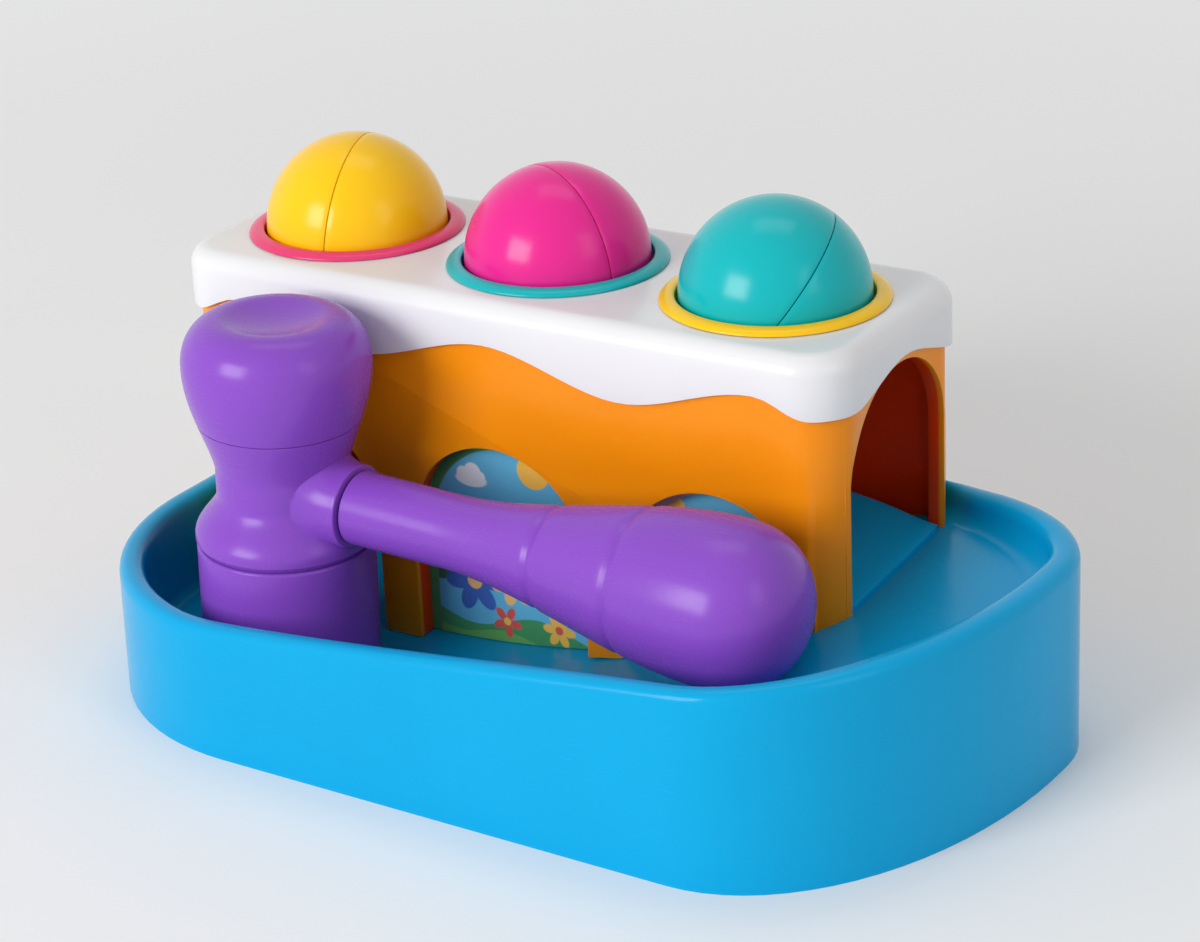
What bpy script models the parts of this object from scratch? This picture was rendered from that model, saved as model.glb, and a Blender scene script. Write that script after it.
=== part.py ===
"""Ball pounding bench: three balls on a deck, a ramp inside, a tray that brings them back, and a mallet.

Units are metres, +Z is up, +X is the right end and -Y is the front. The origin is the centre of
the tray's footprint, on the surface it stands on.
"""

import math

import bmesh
import bpy
from mathutils import Matrix, Vector

# Balls and the holes that hold them
ball_diameter = 0.0600
ball_wall = 0.0020
ball_over_deck = 0.0017
seam_gap = 0.0003
seam_turns = (math.radians(-75.2), math.radians(-23.2), math.radians(-59.8))
seam_tilts = (math.radians(7.4), math.radians(-4.6), math.radians(38.5))

# Deck cover
deck_height = 0.1335
deck_end_margin = 0.0445
deck_side_margin = 0.0092
deck_corner_radius = 0.0180
deck_fillet = 0.0065
deck_plate = 0.0025
skirt_wall = 0.0020
skirt_low = 0.0241
skirt_high = 0.0137
skirt_corner = 0.0195
skirt_end_high = 0.0115
skirt_lobe_share = 0.62
skirt_crest_share = 1.215

# Rings, grippers and their clamps
ring_width = 0.0050
ring_spacing = 0.0074
ring_edge = 0.0010
ring_crown = 0.0019
ring_crown_inset = 0.0034
ring_shoulder_share = 0.85
ring_lip_drop = 0.0002
ring_ball_clearance = 0.0008
collar_wall = 0.0025
gripper_thickness = 0.0013
gripper_flange_width = 0.0055
gripper_tip_drop = 0.0062
gripper_clearance = 0.0006
gripper_slot = 0.0012
clamp_thickness = 0.0019
clamp_margin = 0.0019
clamp_corner_radius = 0.0060
clamp_screw_inset = 0.0055

# Body shell
body_wall = 0.0022
post_width = 0.0140
arch_top_height = 0.0840
arch_lip = 0.0022
arch_lip_depth = 0.0070
exit_width = 0.0620
exit_top_margin = 0.0092
exit_lip_depth = 0.0060
panel_thickness = 0.0015

# Tray
tray_left_margin = 0.0095
basin_reach = 0.0568
tray_front_band = 0.0085
tray_back_band = 0.0026
tray_flare = 0.0006
tray_wall = 0.0024
tray_end_band = 0.0085
tray_basin_band = 0.0095
tray_front_radius_left = 0.0800
tray_back_radius_left = 0.0240
basin_front_curve_length = 0.0706
basin_front_curve_depth = 0.1160
basin_back_curve_length = 0.0760
basin_back_curve_depth = 0.0495
channel_clearance = 0.0132
basin_back_band = 0.0088
floor_low = 0.0110
floor_high = 0.0465
floor_rise_start = 0.0400
floor_bend_inset = 0.0135
floor_flat_reach = 0.0115
bank_start = 0.0200
bank_length = 0.1000
rim_low = 0.0440
rim_high = 0.0660
rim_rise_start = 0.0700
rim_rise_end = 0.1650
rim_round = 0.0045
floor_fillet = 0.0040
bank_share = 0.070
floor_inset_share = 0.8
floor_ring_shares = (0.0, 0.18, 0.42, 0.70, 1.0)
rim_shares = ((0.10, 0.30), (0.30, 0.04), (0.62, 0.0), (0.90, 0.25))

# Ball ramp
ramp_high = 0.0660
ramp_wall = 0.0022
ramp_width = 0.0600
ramp_trough_radius = 0.0600
ramp_fade_start = 0.0400
ramp_left_gap = 0.0020
ramp_right_gap = 0.0022
ramp_leg_width = 0.0280
ramp_leg_thickness = 0.0030
ramp_leg_inset = 0.0070

# Screws, bosses and lugs
screw_radius = 0.0015
screw_head_radius = 0.0030
screw_head_height = 0.0014
small_screw_length = 0.0050
long_screw_length = 0.0140
pilot_clearance = 0.0003
boss_radius = 0.0040
small_boss_radius = 0.0033
deck_boss_radius = 0.0029
boss_height = 0.0240
deck_boss_length = 0.0262
lug_thickness = 0.0032
screw_row_inset = 0.0055

# Mallet
hammer_left_margin = 0.0649
hammer_back = 0.0031
head_length = 0.1190
head_bulb_radius = 0.0298
head_barrel_radius = 0.0287
head_cap_radius = 0.0284
head_waist_radius = 0.0212
head_top_radius = 0.0180
head_top_dish = 0.0015
head_wall = 0.0025
head_cap_height = 0.0440
head_groove = 0.0008
head_parting_height = 0.0857
head_dish_shares = (0.55, 0.9)
flare_start_share = 0.2
waist_top_share = 0.65
bulb_middle_share = 0.55
bulb_swell_power = 1.35
bulb_top_power = 2.2
handle_axis_height = 0.0610
collar_reach = 0.0290
collar_radius = 0.0134
collar_flare = 0.0025
collar_flare_shares = (0.3, 0.6, 0.8, 1.0)
handle_gap = 0.0010
neck_radius = 0.0117
tenon_radius = 0.0100
tenon_depth = 0.0200
grip_radius = 0.0258
grip_centre = 0.1610
grip_groove_first = 0.1010
grip_groove_second = 0.1320
grip_groove_depth = 0.0008
handle_wall = 0.0025
neck_share = 0.48
neck_shares = (0.7, 0.42, 0.2, 0.0)
grip_shares = (0.66, 0.33)
grip_end_shares = (0.0, 0.05, 0.17, 0.36, 0.62, 1.0)
grip_end_power = 2.4
hollow_shares = (0.3, 0.6, 0.85, 1.0)
lean_limit = math.radians(8)

# Gaps and overruns
seat_gap = 0.0003
overrun = 0.0020
weld_distance = 0.000005

# Counts of steps round a shape, or along the four edges of a plan: front, right, back, left
corner_steps = 6
fillet_steps = 3
arch_steps = 14
ball_rings = 5
ball_segments = 20
turned_steps = 24
bore_steps = 20
small_steps = 8
screw_steps = 6
bulb_steps = 8
barrel_steps = 9
ramp_length_steps = 12
ramp_width_steps = 8
lean_steps = 40
gripper_slots = 3
plain_edge_steps = (1, 1, 1, 1)
tray_edge_steps = (13, 1, 13, 3)
deck_edge_steps = (20, 6, 20, 6)

# Sizes worked out from the ones above
ball_radius = ball_diameter / 2
ring_inner_radius = ball_radius + ring_ball_clearance
ring_diameter = 2 * (ring_inner_radius + ring_width)
ball_pitch = ring_diameter + ring_spacing
arch_width = ball_pitch - post_width
deck_half_length = ball_pitch + deck_end_margin
deck_half_depth = ring_diameter / 2 + deck_side_margin
body_half_length = deck_half_length - skirt_wall - seat_gap
body_half_depth = deck_half_depth - skirt_wall - seat_gap
body_corner_radius = deck_corner_radius - skirt_wall - seat_gap
channel_width = 2 * head_bulb_radius + channel_clearance
tray_left_reach = deck_half_length + tray_left_margin
tray_right_reach = deck_half_length + basin_reach
tray_front_reach = body_half_depth + channel_width + tray_front_band
tray_back_reach = body_half_depth + tray_back_band
floor_rise_bend = deck_half_length - floor_bend_inset
floor_rise_end = deck_half_length + floor_flat_reach
tray_length = tray_left_reach + tray_right_reach
tray_depth = tray_front_reach + tray_back_reach
deck_x = tray_left_reach - tray_length / 2
deck_y = tray_depth / 2 - tray_back_reach
deck_under = deck_height - deck_plate
body_top = deck_under - deck_plate - seat_gap
exit_top_height = body_top - exit_top_margin
clamp_side = 2 * (ring_inner_radius + gripper_thickness + clamp_margin)
body_inner_depth = body_half_depth - body_wall
collar_outer_radius = ring_inner_radius + collar_wall
deck_hole_radius = collar_outer_radius + seat_gap
gripper_top = deck_under - seat_gap
clamp_top = gripper_top - gripper_thickness - seat_gap
ball_centre_height = deck_height + ball_over_deck
arch_radius = arch_width / 2
exit_radius = exit_width / 2
hammer_offset_x = deck_half_length - hammer_left_margin
foot_height = floor_low / 2
channel_centre_y = -body_half_depth - channel_width / 2
tray_inner_front = -body_half_depth - channel_width
hammer_y = channel_centre_y + hammer_back
screw_row_y = body_half_depth - screw_row_inset
post_places = (-ball_pitch / 2, ball_pitch / 2)
hole_places = (-ball_pitch, 0.0, ball_pitch)
side_names = ("left", "middle", "right")

# Colours and finishes, one for each kind of plastic and for the steel of the screws
finishes = {
    "white_plastic": ((0.86, 0.86, 0.88), 0.22, 0.0),
    "orange_plastic": ((1.00, 0.28, 0.01), 0.22, 0.0),
    "blue_plastic": ((0.01, 0.36, 0.68), 0.22, 0.0),
    "pink_plastic": ((0.78, 0.05, 0.20), 0.25, 0.0),
    "teal_plastic": ((0.00, 0.45, 0.46), 0.22, 0.0),
    "yellow_plastic": ((1.00, 0.62, 0.01), 0.22, 0.0),
    "magenta_plastic": ((0.82, 0.02, 0.28), 0.22, 0.0),
    "purple_plastic": ((0.26, 0.07, 0.58), 0.24, 0.0),
    "soft_grip": ((0.75, 0.75, 0.72), 0.55, 0.0),
    "printed_panel": ((0.20, 0.55, 0.70), 0.35, 0.0),
    "zinc_steel": ((0.62, 0.62, 0.64), 0.35, 1.0),
}


def clear_scene():
    for obj in list(bpy.data.objects):
        bpy.data.objects.remove(obj, do_unlink=True)


def new_collection(name):
    collection = bpy.data.collections.new(name)
    bpy.context.scene.collection.children.link(collection)
    return collection


def new_finish(name):
    colour, roughness, metallic = finishes[name]
    material = bpy.data.materials.new(name)
    material.use_nodes = True
    shader = material.node_tree.nodes["Principled BSDF"]
    shader.inputs["Base Color"].default_value = (*colour, 1.0)
    shader.inputs["Roughness"].default_value = roughness
    shader.inputs["Metallic"].default_value = metallic
    return material


clear_scene()
parts = new_collection("ball_pounding_bench")
cutters = new_collection("cutters")


# Mesh and object helpers

def smooth(mesh):
    mesh.shade_smooth()
    mesh.set_sharp_from_angle(angle=math.radians(35))


def add_part(name, mesh, finish):
    """A named piece of the bench with a finish of its own."""
    obj = bpy.data.objects.new(name, mesh)
    parts.objects.link(obj)
    smooth(mesh)
    material = new_finish(finish)
    material.name = name + "_finish"
    mesh.materials.append(material)
    return obj


def add_guide(name, mesh):
    """A solid that only cuts or joins another one."""
    obj = bpy.data.objects.new(name, mesh)
    cutters.objects.link(obj)
    obj.hide_render = True
    obj.display_type = "WIRE"
    return obj


def combine(obj, guide, operation, solver="EXACT"):
    step = obj.modifiers.new(operation.lower() + "_" + guide.name, "BOOLEAN")
    step.operation = operation
    step.solver = solver
    step.object = guide


def cut(obj, guide, solver="EXACT"):
    combine(obj, guide, "DIFFERENCE", solver)


def join(obj, guide):
    combine(obj, guide, "UNION")


def mesh_from_bmesh(name, bm):
    bmesh.ops.remove_doubles(bm, verts=bm.verts, dist=weld_distance)
    bmesh.ops.recalc_face_normals(bm, faces=bm.faces)
    mesh = bpy.data.meshes.new(name)
    bm.to_mesh(mesh)
    bm.free()
    return mesh


def loft(name, rings, closed=False, capped=True):
    """A solid skinned over rings that all have the same number of points."""
    bm = bmesh.new()
    rows = [[bm.verts.new(point) for point in ring] for ring in rings]
    count = len(rows[0])
    pairs = list(zip(rows, rows[1:]))
    if closed:
        pairs.append((rows[-1], rows[0]))
    for lower, upper in pairs:
        for i in range(count):
            j = (i + 1) % count
            bm.faces.new((lower[i], lower[j], upper[j], upper[i]))
    if capped and not closed:
        bm.faces.new(rows[0])
        bm.faces.new(rows[-1])
    return mesh_from_bmesh(name, bm)


def prism(name, outlines, half_thickness, turn, place):
    """A flat outline, with any holes, given a thickness. turn takes the outline's plane to its own."""
    curve = bpy.data.curves.new(name, "CURVE")
    curve.dimensions = "2D"
    curve.fill_mode = "BOTH"
    curve.extrude = half_thickness
    for outline in outlines:
        spline = curve.splines.new("POLY")
        spline.points.add(len(outline) - 1)
        for point, (x, y) in zip(spline.points, outline):
            point.co = (x, y, 0.0, 1.0)
        spline.use_cyclic_u = True
    obj = bpy.data.objects.new(name, curve)
    bpy.context.scene.collection.objects.link(obj)
    bpy.context.view_layer.update()
    depsgraph = bpy.context.evaluated_depsgraph_get()
    flat = bpy.data.meshes.new_from_object(obj.evaluated_get(depsgraph))
    bpy.data.objects.remove(obj, do_unlink=True)
    bm = bmesh.new()
    bm.from_mesh(flat)
    bpy.data.meshes.remove(flat)
    bmesh.ops.transform(bm, matrix=Matrix.Translation(place) @ turn, verts=bm.verts)
    return mesh_from_bmesh(name, bm)


def turned(name, profile, steps, around=Matrix.Identity(4)):
    """A solid turned about the Z axis from (radius, height) points, then moved by a matrix."""
    bm = bmesh.new()
    verts = [bm.verts.new((radius, 0.0, height)) for radius, height in profile]
    for first, second in zip(verts, verts[1:]):
        bm.edges.new((first, second))
    on_axis = profile[0][0] == 0 and profile[-1][0] == 0
    if not on_axis:
        bm.edges.new((verts[-1], verts[0]))
    line = bpy.data.meshes.new(name + "_profile")
    bm.to_mesh(line)
    bm.free()
    obj = bpy.data.objects.new(name + "_profile", line)
    bpy.context.scene.collection.objects.link(obj)
    screw = obj.modifiers.new("turn", "SCREW")
    screw.steps = steps
    screw.render_steps = steps
    screw.use_merge_vertices = True
    screw.merge_threshold = weld_distance
    depsgraph = bpy.context.evaluated_depsgraph_get()
    solid = bpy.data.meshes.new_from_object(obj.evaluated_get(depsgraph))
    bpy.data.objects.remove(obj, do_unlink=True)
    bpy.data.meshes.remove(line)
    bm = bmesh.new()
    bm.from_mesh(solid)
    bpy.data.meshes.remove(solid)
    bmesh.ops.transform(bm, matrix=around, verts=bm.verts)
    return mesh_from_bmesh(name, bm)


def rod(name, radius, low, high, steps, around=Matrix.Identity(4)):
    profile = [(0.0, high), (radius, high), (radius, low), (0.0, low)]
    return turned(name, profile, steps, around)


def copies(name, mesh, places):
    """One mesh that holds a copy of a solid at each place."""
    bm = bmesh.new()
    for place in places:
        moved = mesh.copy()
        moved.transform(Matrix.Translation(place))
        bm.from_mesh(moved)
        bpy.data.meshes.remove(moved)
    group = bpy.data.meshes.new(name)
    bm.to_mesh(group)
    bm.free()
    bpy.data.meshes.remove(mesh)
    return group


def ease(share):
    share = min(max(share, 0.0), 1.0)
    return share * share * (3 - 2 * share)


def arc(centre, radius, start, end, steps):
    angles = [start + (end - start) * i / steps for i in range(steps + 1)]
    return [(centre[0] + radius * math.cos(a), centre[1] + radius * math.sin(a)) for a in angles]


FACING_FRONT = Matrix.Rotation(math.pi / 2, 4, "X")
FACING_RIGHT = Matrix.Rotation(math.pi / 2, 4, "Z") @ Matrix.Rotation(math.pi / 2, 4, "X")
FLAT = Matrix.Identity(4)
DECK_PLACE = Matrix.Translation((deck_x, deck_y, 0.0))


# Plans: points run round from the left end of the front edge, seen from above anticlockwise

def rounded_plan(x_low, x_high, y_low, y_high, radii, edge_steps):
    """Plan points of a rectangle with quarter ovals for corners, each with a radius along x and one along y.

    The corners come in this order: front right, back right, back left, front left.
    """
    corners = (
        (x_high - radii[0][0], y_low + radii[0][1], radii[0], -math.pi / 2),
        (x_high - radii[1][0], y_high - radii[1][1], radii[1], 0.0),
        (x_low + radii[2][0], y_high - radii[2][1], radii[2], math.pi / 2),
        (x_low + radii[3][0], y_low + radii[3][1], radii[3], math.pi),
    )
    arcs = []
    for x, y, (across, deep), start in corners:
        turns = [start + math.pi / 2 * i / corner_steps for i in range(corner_steps + 1)]
        arcs.append([(x + across * math.cos(turn), y + deep * math.sin(turn)) for turn in turns])
    points = []
    for number, steps in enumerate(edge_steps):
        start = Vector(arcs[number - 1][-1])
        end = Vector(arcs[number][0])
        points += [tuple(start.lerp(end, i / steps)) for i in range(1, steps)]
        points += arcs[number]
    return points


def plan_normals(points):
    count = len(points)
    normals = []
    for i in range(count):
        before = Vector(points[i - 1])
        after = Vector(points[(i + 1) % count])
        along = (after - before).normalized()
        normals.append(Vector((along.y, -along.x)))
    return normals


def offset_plan(points, distances):
    return [
        (x + normal.x * distance, y + normal.y * distance)
        for (x, y), normal, distance in zip(points, plan_normals(points), distances)
    ]


def box_plan(half_length, half_depth, radius, edge_steps):
    return rounded_plan(-half_length, half_length, -half_depth, half_depth, ((radius, radius),) * 4, edge_steps)


# Tray

def floor_height(x, y):
    """The floor that the balls roll on: low at the left of the channel, high in the basin."""
    first = floor_rise_bend + floor_rise_start
    second = floor_rise_end - floor_rise_bend
    bend = (floor_high - floor_low) / (first * first + first * second)
    run = min(max(x + floor_rise_start, 0.0), first)
    rest = min(max(x - floor_rise_bend, 0.0), second)
    rise = bend * run * run + 2 * bend * first * rest - bend * first * rest * rest / second
    bank = bank_share * (y - channel_centre_y) * ease((x - bank_start) / bank_length)
    return floor_low + rise + bank


def rim_height(x):
    share = (x + rim_rise_start) / (rim_rise_end + rim_rise_start)
    plain = min(max(share, 0.0), 1.0)
    return rim_low + (rim_high - rim_low) * (plain + ease(share)) / 2


def ramp_height(x):
    """Height of the chute's lowest line, which falls to the right end."""
    end = body_half_length - ramp_right_gap
    low = floor_height(end, 0.0) + seat_gap + ramp_wall + seat_gap
    share = (x + ball_pitch) / (end + ball_pitch)
    return ramp_high + (low - ramp_high) * share


def tray_plans():
    outer = rounded_plan(
        tray_flare - tray_left_reach,
        tray_right_reach - tray_flare,
        tray_flare - tray_front_reach,
        tray_back_reach,
        (
            (basin_front_curve_length, basin_front_curve_depth),
            (basin_back_curve_length, basin_back_curve_depth),
            (tray_back_radius_left, tray_back_radius_left),
            (tray_front_radius_left, tray_front_radius_left),
        ),
        tray_edge_steps,
    )
    pocket_back = body_half_depth + 2 * seat_gap
    front_band = tray_front_band - tray_flare
    back_band = tray_back_reach - pocket_back
    inner = rounded_plan(
        tray_flare + tray_end_band - tray_left_reach,
        tray_right_reach - tray_flare - tray_basin_band,
        tray_inner_front,
        pocket_back,
        (
            (basin_front_curve_length - tray_basin_band, basin_front_curve_depth - front_band),
            (basin_back_curve_length - tray_basin_band, basin_back_curve_depth - back_band),
            (body_corner_radius, body_corner_radius),
            (tray_front_radius_left - tray_end_band, tray_front_radius_left - front_band),
        ),
        tray_edge_steps,
    )
    step_back = tray_back_reach - basin_back_band
    stepped = []
    for x, y in inner:
        share = ease((x - (body_half_length - tray_end_band)) / (2 * tray_end_band))
        limit = pocket_back + (step_back - pocket_back) * share
        stepped.append((x, y * limit / pocket_back if y > 0 else y))
    return outer, stepped


def spine_reaches():
    """For every point of the tray's plan, the x of the point it runs in to on the floor's middle line."""
    left = tray_front_radius_left - tray_left_reach
    right = tray_right_reach - basin_front_curve_length
    starts = (left, right, right, left)
    ends = (right, right, left, left)
    reaches = []
    for steps, start, end in zip(tray_edge_steps, starts, ends):
        reaches += [start + (end - start) * i / steps for i in range(1, steps)]
        reaches += [end] * (corner_steps + 1)
    return reaches


def at_height(points, heights):
    return [Vector((x, y, z)) for (x, y), z in zip(points, heights)]


def tray_rings(outer, inner):
    """Rings of the tray's upper side, from its foot over the rim and down to the floor."""
    flare = [tray_flare * (1 - max(normal.y, 0.0)) for normal in plan_normals(outer)]
    foot = offset_plan(outer, flare)
    rims = [rim_height(x) for x, y in outer]
    rings = [at_height(foot, [0.0] * len(outer))]
    rings.append(at_height(outer, [z - rim_round for z in rims]))
    for across_share, drop_share in rim_shares:
        points = [tuple(Vector(a).lerp(Vector(b), across_share)) for a, b in zip(outer, inner)]
        rings.append(at_height(points, [z - rim_round * drop_share for z in rims]))
    rings.append(at_height(inner, [z - rim_round for z in rims]))
    fillet_top = [floor_height(x, y) + floor_fillet for x, y in inner]
    rings.append(at_height(inner, fillet_top))
    return rings


def floor_rings(plan, drop, inset):
    """Rings that carry the floor from a plan in to the line down its middle."""
    middle_y = (tray_inner_front + body_half_depth) / 2
    rings = []
    count = len(plan)
    edges = offset_plan(plan, [-inset] * count)
    for share in floor_ring_shares:
        ring = []
        for (x, y), reach in zip(edges, spine_reaches()):
            target = Vector((reach, middle_y))
            point = Vector((x, y)).lerp(target, share)
            ring.append(Vector((point.x, point.y, floor_height(point.x, point.y) - drop)))
        rings.append(ring)
    return rings


def tray_block():
    outer, inner = tray_plans()
    rings = tray_rings(outer, inner) + floor_rings(inner, 0.0, floor_fillet * floor_inset_share)
    bm = bmesh.new()
    rows = [[bm.verts.new(point) for point in ring] for ring in rings]
    count = len(outer)
    for lower, upper in zip(rows, rows[1:]):
        for i in range(count):
            j = (i + 1) % count
            bm.faces.new((lower[i], lower[j], upper[j], upper[i]))
    bm.faces.new(rows[0])
    return mesh_from_bmesh("tray_base", bm)


def tray_underside():
    """The hollow under the tray, which leaves a wall of even thickness."""
    outer, inner = tray_plans()
    count = len(outer)
    wall_side = offset_plan(outer, [-tray_wall] * count)
    rim_side = offset_plan(inner, [tray_wall] * count)
    low, high, crown, root = [], [], [], []
    for i, (x, y) in enumerate(wall_side):
        band = (Vector(outer[i]) - Vector(inner[i])).length
        wide = band > 3 * tray_wall
        top = rim_height(outer[i][0]) - rim_round / 2 - tray_wall
        under = floor_height(*inner[i]) - tray_wall
        other = rim_side[i] if wide else (x, y)
        low.append(Vector((x, y, -overrun)))
        high.append(Vector((x, y, top if wide else under)))
        crown.append(Vector((*other, top if wide else under)))
        root.append(Vector((*other, under)))
    rings = [low, high, crown, root] + floor_rings(inner, tray_wall, floor_fillet * floor_inset_share)
    bm = bmesh.new()
    rows = [[bm.verts.new(point) for point in ring] for ring in rings]
    for lower, upper in zip(rows, rows[1:]):
        for i in range(count):
            j = (i + 1) % count
            bm.faces.new((lower[i], lower[j], upper[j], upper[i]))
    bm.faces.new(rows[0])
    return mesh_from_bmesh("tray_hollow", bm)


def screw_places(row_y):
    return [(x, y) for x in post_places for y in (-row_y, row_y)]


def leg_places():
    return [ramp_leg_inset - body_half_length, *post_places]


def build_tray():
    block = tray_block()
    seat = block.copy()
    seat.transform(Matrix.Translation((0.0, 0.0, seat_gap)))
    seat.transform(DECK_PLACE)
    block.transform(DECK_PLACE)
    tray = add_part("tray_base", block, "blue_plastic")
    hollow = tray_underside()
    hollow.transform(DECK_PLACE)
    cut(tray, add_guide("tray_hollow", hollow))
    places = screw_places(screw_row_y) + [(x, 0.0) for x in leg_places()]
    hole = rod("hole", screw_radius + pilot_clearance, 0.0, rim_high, small_steps)
    holes = copies("tray_holes", hole, [(x + deck_x, y + deck_y, 0.0) for x, y in places])
    cut(tray, add_guide("tray_holes", holes))
    return add_guide("tray_seat", seat)


# Body

def arch_outline(radius, top, bottom):
    spring = top - radius
    curve = arc((0.0, spring), radius, 0.0, math.pi, arch_steps)
    return [(-radius, bottom), (radius, bottom), *curve]


def build_body(seat):
    plan = box_plan(body_half_length, body_half_depth, body_corner_radius, plain_edge_steps)
    inside = offset_plan(plan, [-body_wall] * len(plan))
    bottom = [foot_height] * len(plan)
    top = [body_top] * len(plan)
    rings = [at_height(plan, bottom), at_height(plan, top), at_height(inside, top), at_height(inside, bottom)]
    mesh = loft("body_shell", rings, closed=True)
    mesh.transform(DECK_PLACE)
    body = add_part("body_shell", mesh, "orange_plastic")

    lip_middle = arch_lip_depth / 2 - body_half_depth
    for number, x in enumerate(hole_places):
        outline = arch_outline(arch_radius + arch_lip, arch_top_height + arch_lip, foot_height)
        place = (deck_x + x, deck_y + lip_middle + body_wall / 4, 0.0)
        lip = prism("arch_lip", [outline], arch_lip_depth / 2 - body_wall / 4, FACING_FRONT, place)
        join(body, add_guide("arch_lip_" + side_names[number], lip))
    outline = arch_outline(exit_radius + arch_lip, exit_top_height + arch_lip, foot_height)
    place = (deck_x + body_half_length - exit_lip_depth / 2 - body_wall / 4, deck_y, 0.0)
    lip = prism("exit_lip", [outline], exit_lip_depth / 2 - body_wall / 4, FACING_RIGHT, place)
    join(body, add_guide("exit_lip", lip))

    bosses = []
    for x, y in screw_places(screw_row_y):
        high = floor_height(x, y) + boss_height
        move = Matrix.Translation((deck_x + x, deck_y + y, 0.0))
        bosses.append(rod("base_boss", boss_radius, foot_height, high, small_steps, move))
        lug_top = deck_under - deck_boss_length - seat_gap
        lug_low = lug_top - lug_thickness
        bosses.append(rod("deck_lug", boss_radius + body_wall / 4, lug_low, lug_top, small_steps, move))
    join(body, add_guide("body_bosses", copies_of_all("body_bosses", bosses)))

    outline = arch_outline(arch_radius, arch_top_height, -overrun)
    middle = arch_lip_depth / 2 - body_half_depth
    for number, x in enumerate(hole_places):
        place = (deck_x + x, deck_y + middle, 0.0)
        opening = prism("arch", [outline], arch_lip_depth / 2 + overrun, FACING_FRONT, place)
        cut(body, add_guide("arch_" + side_names[number], opening))
    outline = arch_outline(exit_radius, exit_top_height, -overrun)
    place = (deck_x + body_half_length - exit_lip_depth / 2, deck_y, 0.0)
    opening = prism("exit", [outline], exit_lip_depth / 2 + overrun, FACING_RIGHT, place)
    cut(body, add_guide("exit_arch", opening))

    drill = rod("drill", screw_radius + pilot_clearance, 0.0, body_top, small_steps)
    places = [(deck_x + x, deck_y + y, 0.0) for x, y in screw_places(screw_row_y)]
    cut(body, add_guide("body_holes", copies("body_holes", drill, places)))
    cut(body, seat, "MANIFOLD")


def copies_of_all(name, meshes):
    """One mesh that holds all the given solids, which don't touch each other."""
    bm = bmesh.new()
    for mesh in meshes:
        bm.from_mesh(mesh)
        bpy.data.meshes.remove(mesh)
    group = bpy.data.meshes.new(name)
    bm.to_mesh(group)
    bm.free()
    return group


def build_panels(seat):
    """Printed panels that close the middle and right arches from behind."""
    middle_y = arch_lip_depth - body_half_depth + seat_gap + panel_thickness / 2
    reach = arch_radius + arch_lip - seat_gap
    outline = arch_outline(reach, arch_top_height + arch_lip, foot_height)
    for number in (1, 2):
        place = (deck_x + hole_places[number], deck_y + middle_y, 0.0)
        name = "picture_panel_" + side_names[number]
        mesh = prism(name, [outline], panel_thickness / 2, FACING_FRONT, place)
        cut(add_part(name, mesh, "printed_panel"), seat)


# Deck

def skirt_height(x, y):
    """Height of the skirt's wavy lower edge: lobes at the posts and corners, crests over the arches."""
    low = deck_height - skirt_low
    high = deck_height - skirt_high
    corner = deck_height - skirt_corner
    end_high = deck_height - skirt_end_high
    lobe = ball_pitch * skirt_lobe_share
    crest = ball_pitch * skirt_crest_share
    turn = deck_half_length - deck_corner_radius / 2
    reach = abs(x)
    if reach < lobe:
        return high + (low - high) * ease(reach / lobe)
    if reach < crest:
        return low + (high - low) * ease((reach - lobe) / (crest - lobe))
    if reach < turn:
        return high + (corner - high) * ease((reach - crest) / (turn - crest))
    side = deck_half_depth - deck_corner_radius / 2
    return end_high + (corner - end_high) * ease(abs(y) / side)


def deck_rings():
    plan = box_plan(deck_half_length, deck_half_depth, deck_corner_radius, deck_edge_steps)
    count = len(plan)
    wave = [skirt_height(x, y) for x, y in plan]
    rings = [at_height(plan, wave)]
    for step in range(fillet_steps + 1):
        angle = math.pi / 2 * step / fillet_steps
        inset = deck_fillet * (1 - math.cos(angle))
        drop = deck_fillet * (1 - math.sin(angle))
        points = offset_plan(plan, [-inset] * count)
        rings.append(at_height(points, [deck_height - drop] * count))
    inner = offset_plan(plan, [-skirt_wall] * count)
    inside = [at_height(inner, wave), at_height(inner, [deck_under - deck_plate] * count)]
    corner = offset_plan(plan, [-skirt_wall - deck_plate] * count)
    inside.append(at_height(corner, [deck_under] * count))
    return list(reversed(rings)) + inside


def clamp_screw_places():
    offset = clamp_side / 2 - clamp_screw_inset
    return [(hole + x, y) for hole in hole_places for x in (-offset, offset) for y in (-offset, offset)]


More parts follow.
